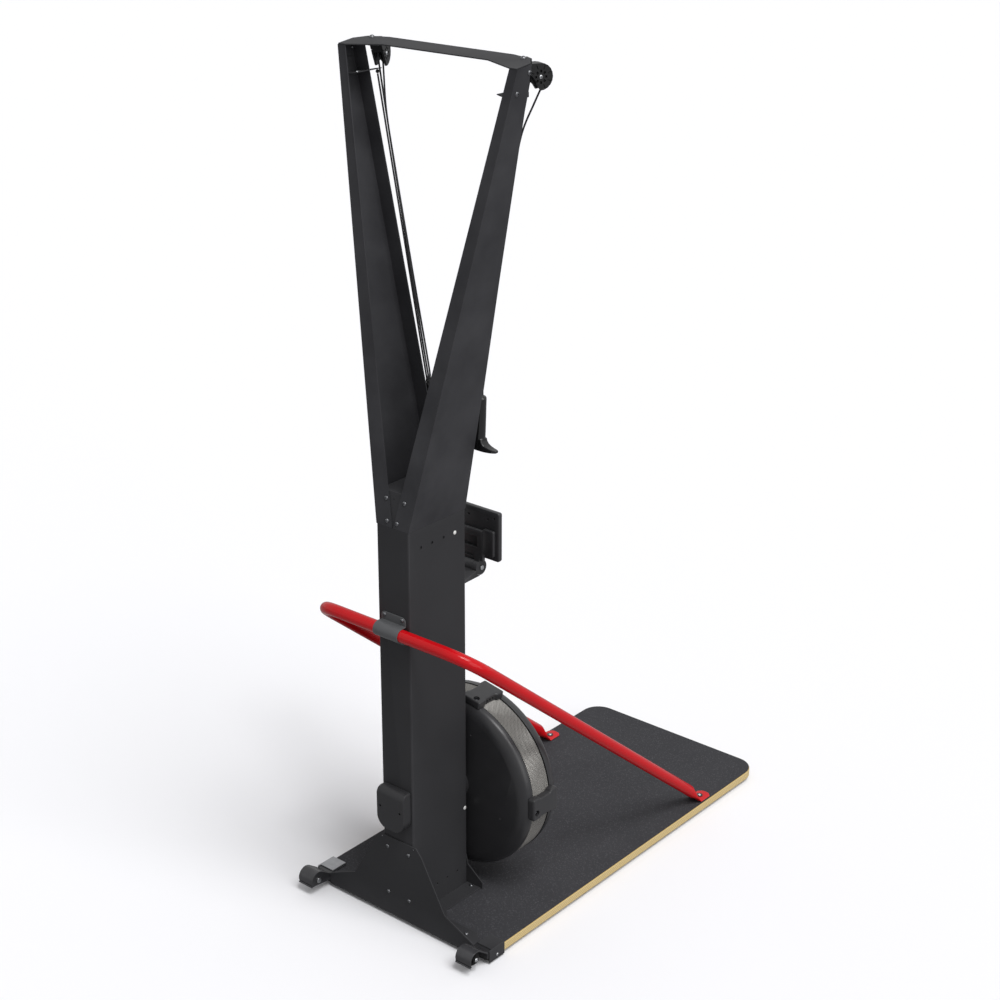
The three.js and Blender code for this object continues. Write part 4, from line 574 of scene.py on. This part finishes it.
screws("arm_foot_screws", [(x, arm_back(z), z, ARM_BACK) for x, z in ARM_FOOT_SCREWS], material=black_steel)
screws("joint_box_screw", [(*JOINT_BOX_SCREW, BACKWARD)], radius=4, height=2.2, socket=2, material=black_steel)
screws("arm_web_screws", [(sign * arm_side(z), y, z, (sign, 0, -ARM_LEAN_OUT)) for sign in SIGNS
                          for y, z in WEB_BOLTS], radius=6, height=3.2, material=black_steel)
screws("arm_web_nuts", [(sign * (arm_side(z) - WEB_THICK), y, z, (-sign, 0, ARM_LEAN_OUT)) for sign in SIGNS
                        for y, z in WEB_BOLTS], radius=5, height=3.4, socket=3, depth=0.4, material=black_steel)
screws("cross_plate_bolts", [(sign * PLATE_BOLT[0], *PLATE_BOLT[1:], PLATE_LEAN) for sign in SIGNS], radius=6.6,
       height=5.2, socket=3, material=black_steel)


# Pulleys
# A D-shaped moulded housing hangs under each end of the cross plate, toed outwards. Its cheeks have eight spokes
# between dark slots round a bright axle nut, and a grooved sheave turns inside.
# Glass-filled nylon with a fine grain: darker than the paint, with edges painted a little grey as wear and painted
# highlight.
black_nylon = speckled("moulded_black_nylon", "#1f1f20", "#252526", 0.38, 40, 0.8, 0.04, edge_wear_and_highlight="#505053", shine=0.25)
PULLEY_CENTRE = (237, 247.9, 2144.2)
PULLEY_TOE = radians(23.8)
CHEEK, PAST_CHEEK = 15, 2
SPOKES = 8
SLOT_RING, SLOT_LONG, SLOT_WIDE, SLOT_DEEP = 12.5, 3, 5.2, 4
GROOVE_FROM, GROOVE_TO, GROOVE_WIDE = 18, 28, 1.5


def pulley_place(sign):
    """Where a pulley's own axes stand: across its cheeks, forward and up."""
    return Matrix.Diagonal((sign, 1, 1, 1)) @ Matrix.Translation(PULLEY_CENTRE) @ Matrix.Rotation(-PULLEY_TOE, 4, "Z")


def spoke_cuts(placing):
    """Eight slots and eight grooves, sunk into both cheeks."""
    work = bmesh.new()
    for cheek in SIGNS:
        for i in range(SPOKES):
            turned = placing @ Matrix.Rotation(2 * pi * i / SPOKES, 4, "X")
            low, high = sorted((cheek * (CHEEK - SLOT_DEEP), cheek * (CHEEK + PAST_CHEEK)))
            slot = [((low, SLOT_RING - SLOT_LONG, -SLOT_WIDE / 2), (high, SLOT_RING + SLOT_LONG, SLOT_WIDE / 2))]
            work.from_mesh(solids("slot", slot, turned))
            groove = [((low, GROOVE_FROM, -GROOVE_WIDE / 2), (high, GROOVE_TO, GROOVE_WIDE / 2))]
            work.from_mesh(solids("groove", groove, turned @ Matrix.Rotation(pi / SPOKES, 4, "X")))
    mesh = bpy.data.meshes.new("spoke_cuts")
    work.to_mesh(mesh)
    work.free()
    return mesh


for side, sign in SIDES.items():
    placing = pulley_place(sign)
    dressed(f"pulley_housing_{side}", black_nylon, rounding=0.7, cutter=spoke_cuts(placing))
    ends = [(*(placing @ Vector((cheek * CHEEK, 0, 0))), placing.to_3x3() @ Vector((cheek, 0, 0))) for cheek in SIGNS]
    screws(f"pulley_axle_ends_{side}", ends, radius=4.6, height=2.2, socket=2.6)
    dressed(f"sheave_{side}", black_nylon, f"sheave_{side}_body", rounding=0.4)


# Cord guides and ball stops
# A bent steel tab with a cropped corner passes through a slot in each arm and leads the cord. The cord's knot sits
# in a rubber ball on the tab.
GUIDE_CORNER, GUIDE_CORNER_TURN = (253, 198, 2110), radians(39.7)
GUIDE_CROP = [((0, -30, -25), (60, 60, 30))]
GUIDE_SCREW, GUIDE_LEAN = (225, 155, 2113.8), 0.19
for side, sign in SIDES.items():
    past = Matrix.Translation(GUIDE_CORNER) @ Matrix.Rotation(GUIDE_CORNER_TURN, 4, "Z")
    corner_cut = solids("guide_corner", GUIDE_CROP, Matrix.Diagonal((sign, 1, 1, 1)) @ past)
    dressed(f"cord_guide_{side}", powder_coat, rounding=0.8, cutter=corner_cut)
    moulded(dressed(f"cord_stop_{side}", rubber, rounding=0), 0.5, 6)
screws("guide_screws", [(sign * GUIDE_SCREW[0], *GUIDE_SCREW[1:], (sign * GUIDE_LEAN, 0, 1)) for sign in SIGNS],
       radius=4.4, height=2.4)


# Handles and their clips
# Glossy black moulded grips, each on a foot with a beak that keeps the hand from slipping off. A rubber cradle on
# each arm holds one upright.
HANDLE_FOOT = (79, 232, 1232)
HANDLE_LEAN = radians(2)
SOLE_TOP, SOLE_FADE, BEAK, HEEL = 30, 14, 56, 28
SOLE_ROUND, SOLE_NARROW = 2.4, 0.75
# Glossy black ABS: nearly black, with small white highlights on every curve.
glossy_abs = speckled("glossy_black_abs", "#161617", "#1a1a1b", 0.13, 30, 2.5, 0.005, shine=0.6)


def handle_place(sign):
    """Where a handle's own axes stand, with its foot's middle as the origin."""
    mirror = Matrix.Diagonal((sign, 1, 1, 1))
    return mirror @ Matrix.Translation(HANDLE_FOOT) @ Matrix.Rotation(HANDLE_LEAN, 4, "Y")


for side, sign in SIDES.items():
    handle = copied(f"handle_{side}")
    moulded(handle, 1.1, 7)
    to_frame = Matrix.Translation(spot(0, 0, 0)) @ Matrix.Scale(0.001, 4) @ handle_place(sign)
    for corner in handle.data.vertices:
        own = to_frame.inverted() @ corner.co
        below = min(max((SOLE_TOP - own.z) / SOLE_FADE, 0), 1)
        reach = min(abs(own.x) / (BEAK if own.x > 0 else HEEL), 1)
        own.y *= 1 - below * (1 - (1 - reach ** SOLE_ROUND) ** 0.5) * SOLE_NARROW
        corner.co = to_frame @ own
    finish(handle, glossy_abs, f"handle_{side}_body", [f"handle_{side}"])
    dressed(f"handle_clip_{side}", rubber, rounding=0.8)


# Cords
# Braided polyester cord, dark grey with a lighter fleck. One runs from the ball stop through the handle's eye and
# back up to the pulley. The other goes on over the sheave, down in front of the arm and inside the mast to a spool.
CORD_RADIUS, CORD_SIDES = 2.2, 10
BRAID_STRANDS, BRAID_PITCH, BRAID_DEPTH = 8, 7, 0.0003
braid, tree, shader = new_finish("braided_polyester")
# Crossed light and dark strands, 7 mm to a turn, that follow the cord: up close it is rope and not wire.
along = add_node(tree, "ShaderNodeUVMap", uv_map="along")
parts = add_node(tree, "ShaderNodeSeparateXYZ", {0: along.outputs[0]})
round_share = add_node(tree, "ShaderNodeMath", {0: parts.outputs[0], 1: BRAID_STRANDS}, operation="MULTIPLY")
turns = add_node(tree, "ShaderNodeMath", {0: parts.outputs[1], 1: 1000 * BRAID_STRANDS / BRAID_PITCH},
                 operation="MULTIPLY")
one_way = add_node(tree, "ShaderNodeMath", {0: round_share.outputs[0], 1: turns.outputs[0]}, operation="ADD")
other_way = add_node(tree, "ShaderNodeMath", {0: round_share.outputs[0], 1: turns.outputs[0]}, operation="SUBTRACT")
crossed = add_node(tree, "ShaderNodeCombineXYZ", {0: one_way.outputs[0], 1: other_way.outputs[0]})
weave = add_node(tree, "ShaderNodeTexChecker", {"Vector": crossed.outputs[0], "Color1": linear("#1a1a1c"),
                                                "Color2": linear("#39393c"), "Scale": 1.0})
tree.links.new(weave.outputs[0], shader.inputs["Base Color"])
lumps = add_node(tree, "ShaderNodeBump", {"Height": weave.outputs[1], "Distance": BRAID_DEPTH, "Strength": 0.6})
tree.links.new(lumps.outputs[0], shader.inputs["Normal"])
shader.inputs["Roughness"].default_value = 0.8


def swept(name, stations, sides):
    """A tube through stations (point, half width, half thickness), with a UV map round it and along it."""
    points = [Vector(point) for point, _, _ in stations]
    across = None
    corners, faces, lengths = [], [], [0.0]
    for i, (point, (_, wide, thick)) in enumerate(zip(points, stations)):
        heading = (points[min(i + 1, len(points) - 1)] - points[max(i - 1, 0)]).normalized()
        if across is None:
            across = Vector((1, 0, 0)) if abs(heading.x) < 0.7 else Vector((0, 1, 0))
        across = (across - heading * across.dot(heading)).normalized()
        up = heading.cross(across)
        if i:
            lengths.append(lengths[-1] + (point - points[i - 1]).length / 1000)
        for k in range(sides):
            angle = 2 * pi * k / sides
            corners.append(spot(*(point + across * cos(angle) * wide + up * sin(angle) * thick)))
    for i in range(len(points) - 1):
        for k in range(sides):
            after = (k + 1) % sides
            faces.append((i * sides + k, i * sides + after, (i + 1) * sides + after, (i + 1) * sides + k))
    last = (len(points) - 1) * sides
    faces.append(tuple(reversed(range(sides))))
    faces.append(tuple(range(last, last + sides)))
    mesh = bpy.data.meshes.new(name)
    mesh.from_pydata([tuple(c) for c in corners], [], faces)
    layer = mesh.uv_layers.new(name="along")
    for polygon in mesh.polygons[:-2]:
        ring, k = divmod(polygon.index, sides)
        shares = ((k, ring), (k + 1, ring), (k + 1, ring + 1), (k, ring + 1))
        for loop, (u, station) in zip(polygon.loop_indices, shares):
            layer.data[loop].uv = (u / sides, lengths[station])
    mesh.shade_smooth()
    mesh.set_sharp_from_angle(angle=radians(50))
    return mesh


def eased(points, step):
    """Points every few millimetres on a smooth curve through the given ones."""
    points = [Vector(p) for p in points]
    ends = [points[0] * 2 - points[1], *points, points[-1] * 2 - points[-2]]
    made = []
    for p0, p1, p2, p3 in zip(ends, ends[1:], ends[2:], ends[3:]):
        t1 = (p1 - p0).length ** 0.5
        t2 = t1 + (p2 - p1).length ** 0.5
        t3 = t2 + (p3 - p2).length ** 0.5
        count = max(1, int((p2 - p1).length / step))
        for i in range(count):
            t = t1 + (t2 - t1) * i / count
            a1, a2, a3 = p0.lerp(p1, t / t1), p1.lerp(p2, (t - t1) / (t2 - t1)), p2.lerp(p3, (t - t2) / (t3 - t2))
            b1, b2 = a1.lerp(a2, t / t2), a2.lerp(a3, (t - t1) / (t3 - t1))
            made.append(b1.lerp(b2, (t - t1) / (t2 - t1)))
    return [*made, points[-1]]


def sheave_point(sign, forward, up):
    return pulley_place(sign) @ Vector((0, forward, up))


CORD_LINE, CORD_LEAVES = 19, radians(20)
EYE_TURN, EYE_LEVEL, EYE_PARTS = 6.6, 149.6, 8
WRAP_PARTS = 16
HANDLE_CORD_STEP, DRIVE_CORD_STEP = 12, 20
STOP_FOOT = (216.7, 214.9, 2102.7)
SLACK = ((0.65, 6, 14), (0.35, 11, 26), (0.16, 12, 29), (0.07, 5, 14))
THROAT = ((19.4, 214.8, 1192.5), (15, 206.7, 1166.5), (15, 197.6, 1140.5))
ARM_RUN = (35.6, 213.6, 1246.5)
SPOOL_LINE, SPOOL_SIDE = {"left": 73.6, "right": 131.6}, 25.5
BLEND_FROM, BLEND_TO = (217, 232, 2100), (84, 232, 1386)
SHAFT_LEVEL = 285.4


def leaving(sign, along):
    """A point where the cord leaves the front of the sheave."""
    return sheave_point(sign, CORD_LINE * cos(CORD_LEAVES) - along * sin(CORD_LEAVES),
                        -CORD_LINE * sin(CORD_LEAVES) - along * cos(CORD_LEAVES))


for side, sign in SIDES.items():
    mirror = Matrix.Diagonal((sign, 1, 1, 1))
    angles = [pi * i / EYE_PARTS for i in range(EYE_PARTS + 1)]
    turn = [handle_place(sign) @ Vector((0, -EYE_TURN * cos(a), EYE_LEVEL - EYE_TURN * sin(a))) for a in angles]
    top = leaving(sign, 0.3)
    slack = [top.lerp(turn[-1], share) - Vector((sign * inward, rearward, 0)) for share, inward, rearward in SLACK]
    route = eased([mirror @ Vector(STOP_FOOT), *turn, *slack, leaving(sign, 6.3), top],
                  HANDLE_CORD_STEP)
    cord = new_object(f"handle_cord_{side}_finished",
                      swept(f"handle_cord_{side}", [(p, CORD_RADIUS, CORD_RADIUS) for p in route], CORD_SIDES))
    cord.data.materials.append(braid)
    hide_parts(f"handle_cord_{side}")
    start, end = (tuple(spot(sign * x, y, z)) for x, y, z in (BLEND_FROM, BLEND_TO))
    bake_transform(cord)
    angles = [-CORD_LEAVES + (pi + CORD_LEAVES) * i / WRAP_PARTS for i in range(WRAP_PARTS + 1)]
    over = [sheave_point(sign, CORD_LINE * cos(a), CORD_LINE * sin(a)) for a in angles]
    down = [mirror @ Vector(p) for p in (ARM_RUN, *THROAT)]
    route = eased([*over, *down, Vector((SPOOL_SIDE, SPOOL_LINE[side], SHAFT_LEVEL))], DRIVE_CORD_STEP)
    drive = new_object(f"drive_cord_{side}_finished",
                       swept(f"drive_cord_{side}", [(p, CORD_RADIUS, CORD_RADIUS) for p in route], CORD_SIDES))
    finish(drive, braid, "frame", [f"drive_cord_{side}"])


# Flywheel and spools
# A bladed steel wheel stands on a bright shaft inside the drum. Behind it, inside the mast, a moulded spool winds up
# each cord.
# Steel with a thin dark coat: dull, with bright edges on its blades, partly bare steel and partly painted highlight.
dark_steel = speckled("dark_coated_steel", "#161618", "#1d1d20", 0.45, 50, 1.2, 0.08, edge_wear_and_highlight="#505054")
dressed("flywheel_shaft", bright_steel, "flywheel", rounding=0.6)
dressed("flywheel_fan", dark_steel, "flywheel", rounding=0)
for side in SIDES:
    dressed(f"drive_spool_{side}", black_nylon, f"spool_{side}_body", rounding=0.5)


# Drum
# Two moulded grey shells hold a band of expanded metal between them. Four clips with a sunk screw each join the
# shells, and a lever on the front opens the damper.
# Grey ABS with a fine moulded grain: it goes dark where it faces away and pale along its rounded shoulder.
# Its rounded edges are painted paler too: partly wear, partly painted highlight.
drum_abs = speckled("grained_grey_abs", "#2a2a2c", "#323234", 0.34, 60, 0.9, 0.04, edge_wear_and_highlight="#58585c", shine=0.5)
FACE_SCREW_RING, FACE_SCREW_FROM, DRUM_REAR_FACE = 164, -19.5, 225.2
FACE_PIT_RADIUS, FACE_PIT_DEEP = 2.6, 1.6
face_pits = []
for i in range(4):
    angle = radians(FACE_SCREW_FROM + 90 * i)
    x, z = FACE_SCREW_RING * cos(angle), SHAFT_LEVEL + FACE_SCREW_RING * sin(angle)
    face_pits.append(((x, DRUM_REAR_FACE - 2, z), (x, DRUM_REAR_FACE + FACE_PIT_DEEP, z), FACE_PIT_RADIUS, 16))
dressed("drum_rear_shell", drum_abs, rounding=0.6, sharp=50, cutter=solids("face_pits", face_pits))
dressed("drum_front_shell", drum_abs, rounding=0.6, sharp=50)
dressed("damper_lever", black_nylon, "damper", rounding=0.8)


def lattice_tree():
    """Two families of slanted wires round a drum's edge, one each way, that cross in diamonds."""
    tree, given = group("expanded_metal", {"Count": "Int", "Radius": "Float", "Rear": "Float", "Front": "Float",
                                           "Slant": "Float", "Wire": "Float", "Centre": "Vector",
                                           "Material": "Material"})
    joined = add_node(tree, "GeometryNodeJoinGeometry")
    for way in (1.0, -1.0):
        line = add_node(tree, "GeometryNodeCurvePrimitiveLine")
        fine = add_node(tree, "GeometryNodeResampleCurve", {"Curve": line.outputs[0], "Count": 6})
        share = add_node(tree, "GeometryNodeSplineParameter")
        slant = add_node(tree, "ShaderNodeMath", {0: given["Slant"], 1: way}, operation="MULTIPLY")
        angle = add_node(tree, "ShaderNodeMath", {0: share.outputs["Factor"], 1: slant.outputs[0]},
                         operation="MULTIPLY")
        cosine = add_node(tree, "ShaderNodeMath", {0: angle.outputs[0]}, operation="COSINE")
        sine = add_node(tree, "ShaderNodeMath", {0: angle.outputs[0]}, operation="SINE")
        x = add_node(tree, "ShaderNodeMath", {0: cosine.outputs[0], 1: given["Radius"]}, operation="MULTIPLY")
        z = add_node(tree, "ShaderNodeMath", {0: sine.outputs[0], 1: given["Radius"]}, operation="MULTIPLY")
        y = add_node(tree, "ShaderNodeMapRange", {0: share.outputs["Factor"], 3: given["Rear"],
                                                  4: given["Front"]})
        place = add_node(tree, "ShaderNodeCombineXYZ", {0: x.outputs[0], 1: y.outputs[0], 2: z.outputs[0]})
        bent = add_node(tree, "GeometryNodeSetPosition", {"Geometry": fine.outputs[0],
                                                          "Position": place.outputs[0]})
        section = add_node(tree, "GeometryNodeCurvePrimitiveCircle", {"Resolution": 5, "Radius": given["Wire"]})
        wire = add_node(tree, "GeometryNodeCurveToMesh", {"Curve": bent.outputs[0],
                                                          "Profile Curve": section.outputs[0], "Fill Caps": True})
        seats = add_node(tree, "GeometryNodePoints", {"Count": given["Count"]})
        number = add_node(tree, "GeometryNodeInputIndex")
        round_share = add_node(tree, "ShaderNodeMath", {0: number.outputs[0], 1: given["Count"]},
                               operation="DIVIDE")
        turned = add_node(tree, "ShaderNodeMath", {0: round_share.outputs[0], 1: 2 * pi}, operation="MULTIPLY")
        euler = add_node(tree, "ShaderNodeCombineXYZ", {0: 0.0, 1: turned.outputs[0], 2: 0.0})
        turn = add_node(tree, "FunctionNodeEulerToRotation", {0: euler.outputs[0]})
        ring = add_node(tree, "GeometryNodeInstanceOnPoints", {"Points": seats.outputs[0],
                                                               "Instance": wire.outputs[0],
                                                               "Rotation": turn.outputs[0]})
        tree.links.new(ring.outputs[0], joined.inputs[0])
    moved = add_node(tree, "GeometryNodeTransform", {"Geometry": joined.outputs[0],
                                                     "Translation": given["Centre"]})
    real = add_node(tree, "GeometryNodeRealizeInstances", {0: moved.outputs[0]})
    painted = add_node(tree, "GeometryNodeSetMaterial", {"Geometry": real.outputs[0],
                                                         "Material": given["Material"]})
    add_node(tree, "NodeGroupOutput", {0: painted.outputs[0]})
    return tree


# Warm grey expanded metal. The real cells are about 2 mm and are drawn at 5 mm, so that they show as a weave.
mesh_metal = speckled("expanded_metal", "#7d7b78", "#918f8b", 0.36, 20, 1.5, 0.03, metal=0.4)
BAND = {"Count": 260, "Radius": 0.2388, "Rear": 0.0, "Front": 0.0615, "Slant": 0.265, "Wire": 0.00108,
        "Centre": spot(0, 255.5, SHAFT_LEVEL), "Material": mesh_metal}
grown("drum_mesh_band_finished", bpy.data.meshes.new("band"), lattice_tree(), BAND, "frame",
      ["drum_mesh_band"])

CLIP_PLACES = {"right": 0, "top": 80, "left": 180, "bottom": 260}
SHELL_RADIUS = 241.7
CLIP_BLOCKS = [((-31, 234.8, 226), (31, 262, 258)), ((-27, 250, 226), (27, 315, 258.5)),
               ((-33, 304, 226), (33, 330.6, 258))]
PIT_ACROSS, PIT_Y, PIT_RADIUS, PIT_FLOOR = 10, 248, 8.4, 249
CLIP_CUTS = [((0, 200, 0), (0, 360, 0), SHELL_RADIUS, 256),
             ((PIT_ACROSS, PIT_Y, PIT_FLOOR), (PIT_ACROSS, PIT_Y, 262), PIT_RADIUS, 24),
             *(((18, y, 245), (30, y + 6.5, 251)) for y in (268, 279, 290))]
for place, degrees in CLIP_PLACES.items():
    angle = radians(degrees)
    axes = Matrix(((sin(angle), 0, cos(angle), 0), (0, 1, 0, 0), (-cos(angle), 0, sin(angle), SHAFT_LEVEL),
                   (0, 0, 0, 1)))
    clip = new_object(f"drum_clip_{place}_finished", solids(f"drum_clip_{place}", CLIP_BLOCKS, axes))
    moulded(clip, 1.5, 44)
    carved(clip, solids("clip_cuts", CLIP_CUTS, axes))
    clip.data.set_sharp_from_angle(angle=radians(40))
    finish(clip, drum_abs, "frame", [f"drum_clip_{place}"])
    foot = axes @ Vector((PIT_ACROSS, PIT_Y, PIT_FLOOR))
    screws(f"clip_screw_{place}", [(*foot, (cos(angle), 0, sin(angle)))], radius=4.8, height=4, socket=1.8)


# Rear drive cover
# A black cover, round below and along its top edge, screwed to the back of the mast through two sunk holes.
# Black ABS with a fine moulded grain: a shade lighter than the mast, and soft where it turns.
# Its edges are painted paler: partly wear, partly painted highlight.
cover_abs = speckled("grained_black_abs", "#2c2c2e", "#333335", 0.42, 50, 0.9, 0.05, edge_wear_and_highlight="#5c5c60", shine=0.3)
COVER_HOLE_OUT, COVER_HOLE_LEVEL, COVER_HOLE_RADIUS = 33.5, 313, 3.4
COVER_HOLES = [((sign * COVER_HOLE_OUT, -32, COVER_HOLE_LEVEL), (sign * COVER_HOLE_OUT, -21, COVER_HOLE_LEVEL),
                COVER_HOLE_RADIUS, 16) for sign in SIGNS]
cover = copied("rear_drive_cover")
moulded(cover, 0.9, 6)
carved(cover, solids("cover_holes", COVER_HOLES))
cover.data.set_sharp_from_angle(angle=radians(50))
finish(cover, cover_abs, "frame", ["rear_drive_cover"])


# Brace tube and clamp
# A round steel tube bent to a U and painted gloss red. Its ends are pressed flat and bolted to the board through
# black washers, and a grey strap holds it to the mast.
# Saturated red with a clear wet streak along its upper side.
red_paint = speckled("gloss_red_paint", "#c20a14", "#cc0e18", 0.17, 90, 2.0, 0.01, shine=0.28)
TUBE_RADIUS, TUBE_SIDES = 16, 40
TUBE_BACK, TUBE_LEVEL = -13, 808.5
TUBE_CORNER_X, TUBE_END_X, TUBE_END_Y = 257, 275, 1000
TUBE_BEND, BEND_PARTS = 92, 28
FLAT_LONG, FLAT_LEVEL, FLAT_HALF, FLAT_THICK = 50, 2.8, 22, 2.5
SQUASH_LONG, SQUASH_PARTS = 46, 12
CLIPPED = 9
WASHER_PLACE, WASHER_TOP, WASHER_RADIUS = (274, 972, 5.4), 6.8, 9.5
corner = Vector((TUBE_CORNER_X, TUBE_BACK, TUBE_LEVEL))
flat_start = Vector((TUBE_END_X, TUBE_END_Y - FLAT_LONG, FLAT_LEVEL))
leg = flat_start + Vector((0, 0, TUBE_RADIUS)) - corner
leg_long = leg.length
leg.normalize()
bend_start, bend_end = corner - Vector((TUBE_BEND, 0, 0)), corner + leg * TUBE_BEND
squash = corner + leg * (leg_long - SQUASH_LONG)
half = [(Vector((0, TUBE_BACK, TUBE_LEVEL)), TUBE_RADIUS, TUBE_RADIUS)]
for i in range(BEND_PARTS + 1):
    share = i / BEND_PARTS
    half.append((bend_start.lerp(corner, share).lerp(corner.lerp(bend_end, share), share), TUBE_RADIUS, TUBE_RADIUS))
for i in range(SQUASH_PARTS + 1):
    share = i / SQUASH_PARTS
    ease = share * share * (3 - 2 * share)
    half.append((squash.lerp(flat_start, share), TUBE_RADIUS + (FLAT_HALF - TUBE_RADIUS) * ease,
                 TUBE_RADIUS + (FLAT_THICK - TUBE_RADIUS) * ease))
half.append((Vector((TUBE_END_X, TUBE_END_Y - CLIPPED, FLAT_LEVEL)), FLAT_HALF, FLAT_THICK))
half.append((Vector((TUBE_END_X, TUBE_END_Y, FLAT_LEVEL)), FLAT_HALF - CLIPPED, FLAT_THICK))
other = [(Vector((-p.x, p.y, p.z)), wide, thick) for p, wide, thick in reversed(half[1:])]
tube = new_object("support_tube_finished", swept("support_tube", other + half, TUBE_SIDES))
finish(tube, red_paint, "frame", ["support_tube"])
across, forward, low = WASHER_PLACE
WASHERS = [((sign * across, forward, low), (sign * across, forward, WASHER_TOP), WASHER_RADIUS, 32) for sign in SIGNS]
finish(new_object("tube_washers", solids("tube_washers", WASHERS)), black_nylon)
screws("tube_end_screws", [(sign * across, forward, WASHER_TOP, UPWARD) for sign in SIGNS], radius=5, height=2.8)

CLAMP_SCREW_OUT, CLAMP_SCREW_LEVEL = 29, 842
# Satin paint in a middle grey: the strap stands out between the red tube and the black mast.
# Its edges are painted paler: partly wear, partly painted highlight.
grey_paint = speckled("satin_grey_paint", "#505153", "#5a5b5d", 0.42, 60, 1.4, 0.06, edge_wear_and_highlight="#707174", shine=0.3)
dressed("tube_clamp", grey_paint, rounding=0.8)
screws("clamp_screws", [(sign * CLAMP_SCREW_OUT, 0, CLAMP_SCREW_LEVEL, BACKWARD) for sign in SIGNS],
       material=black_steel)


# Monitor
# A thin black case on a slotted bracket, hinged on a barrel at the end of an arm from the mast. Small screws hold
# the case together from behind, and a grey display and one button face the user.
CASE_BACK, CASE_HOLE_RADIUS, CASE_HOLE_DEEP = 282, 3.2, 3
CASE_HOLE_PLACES = ((1, 1027), (64, 1027), (-64, 1027), (84, 1035), (-84, 1035), (-84, 942))
CASE_HOLES = [((x, CASE_BACK - 2, z), (x, CASE_BACK + CASE_HOLE_DEEP, z), CASE_HOLE_RADIUS, 16)
              for x, z in CASE_HOLE_PLACES]
# A thin wall behind the bracket's lower slot closes it.
SLOT_BACK = [((-22, 279.5, 914), (22, 281.5, 934))]
# Black ABS with a fine moulded grain, with a grey painted highlight along its edges so that the thin plates read
# one from another.
case_abs = speckled("grained_case_abs", "#2c2c2e", "#323234", 0.36, 40, 0.9, 0.05, edge_wear_and_highlight="#8a8a8e", shine=0.4)
dressed("monitor_case", case_abs, "monitor", rounding=0.6,
        cutter=solids("case_holes", CASE_HOLES))
# Grey liquid crystal behind clear plastic: dull green-grey, with a clean reflection.
display = speckled("grey_display", "#7d8980", "#87938a", 0.12, 40, 3.0, 0.01)
dressed("monitor_screen", display, "monitor", rounding=0.4)
dressed("monitor_button", drum_abs, "button", rounding=0.6)
dressed("battery_cover", case_abs, "monitor", rounding=0.7)
dressed("monitor_bracket", case_abs, "monitor", rounding=0.9,
        added=solids("slot_back", SLOT_BACK))
dressed("monitor_arm", case_abs, rounding=0.9)
dressed("hinge_pin", bright_steel, rounding=0.6)
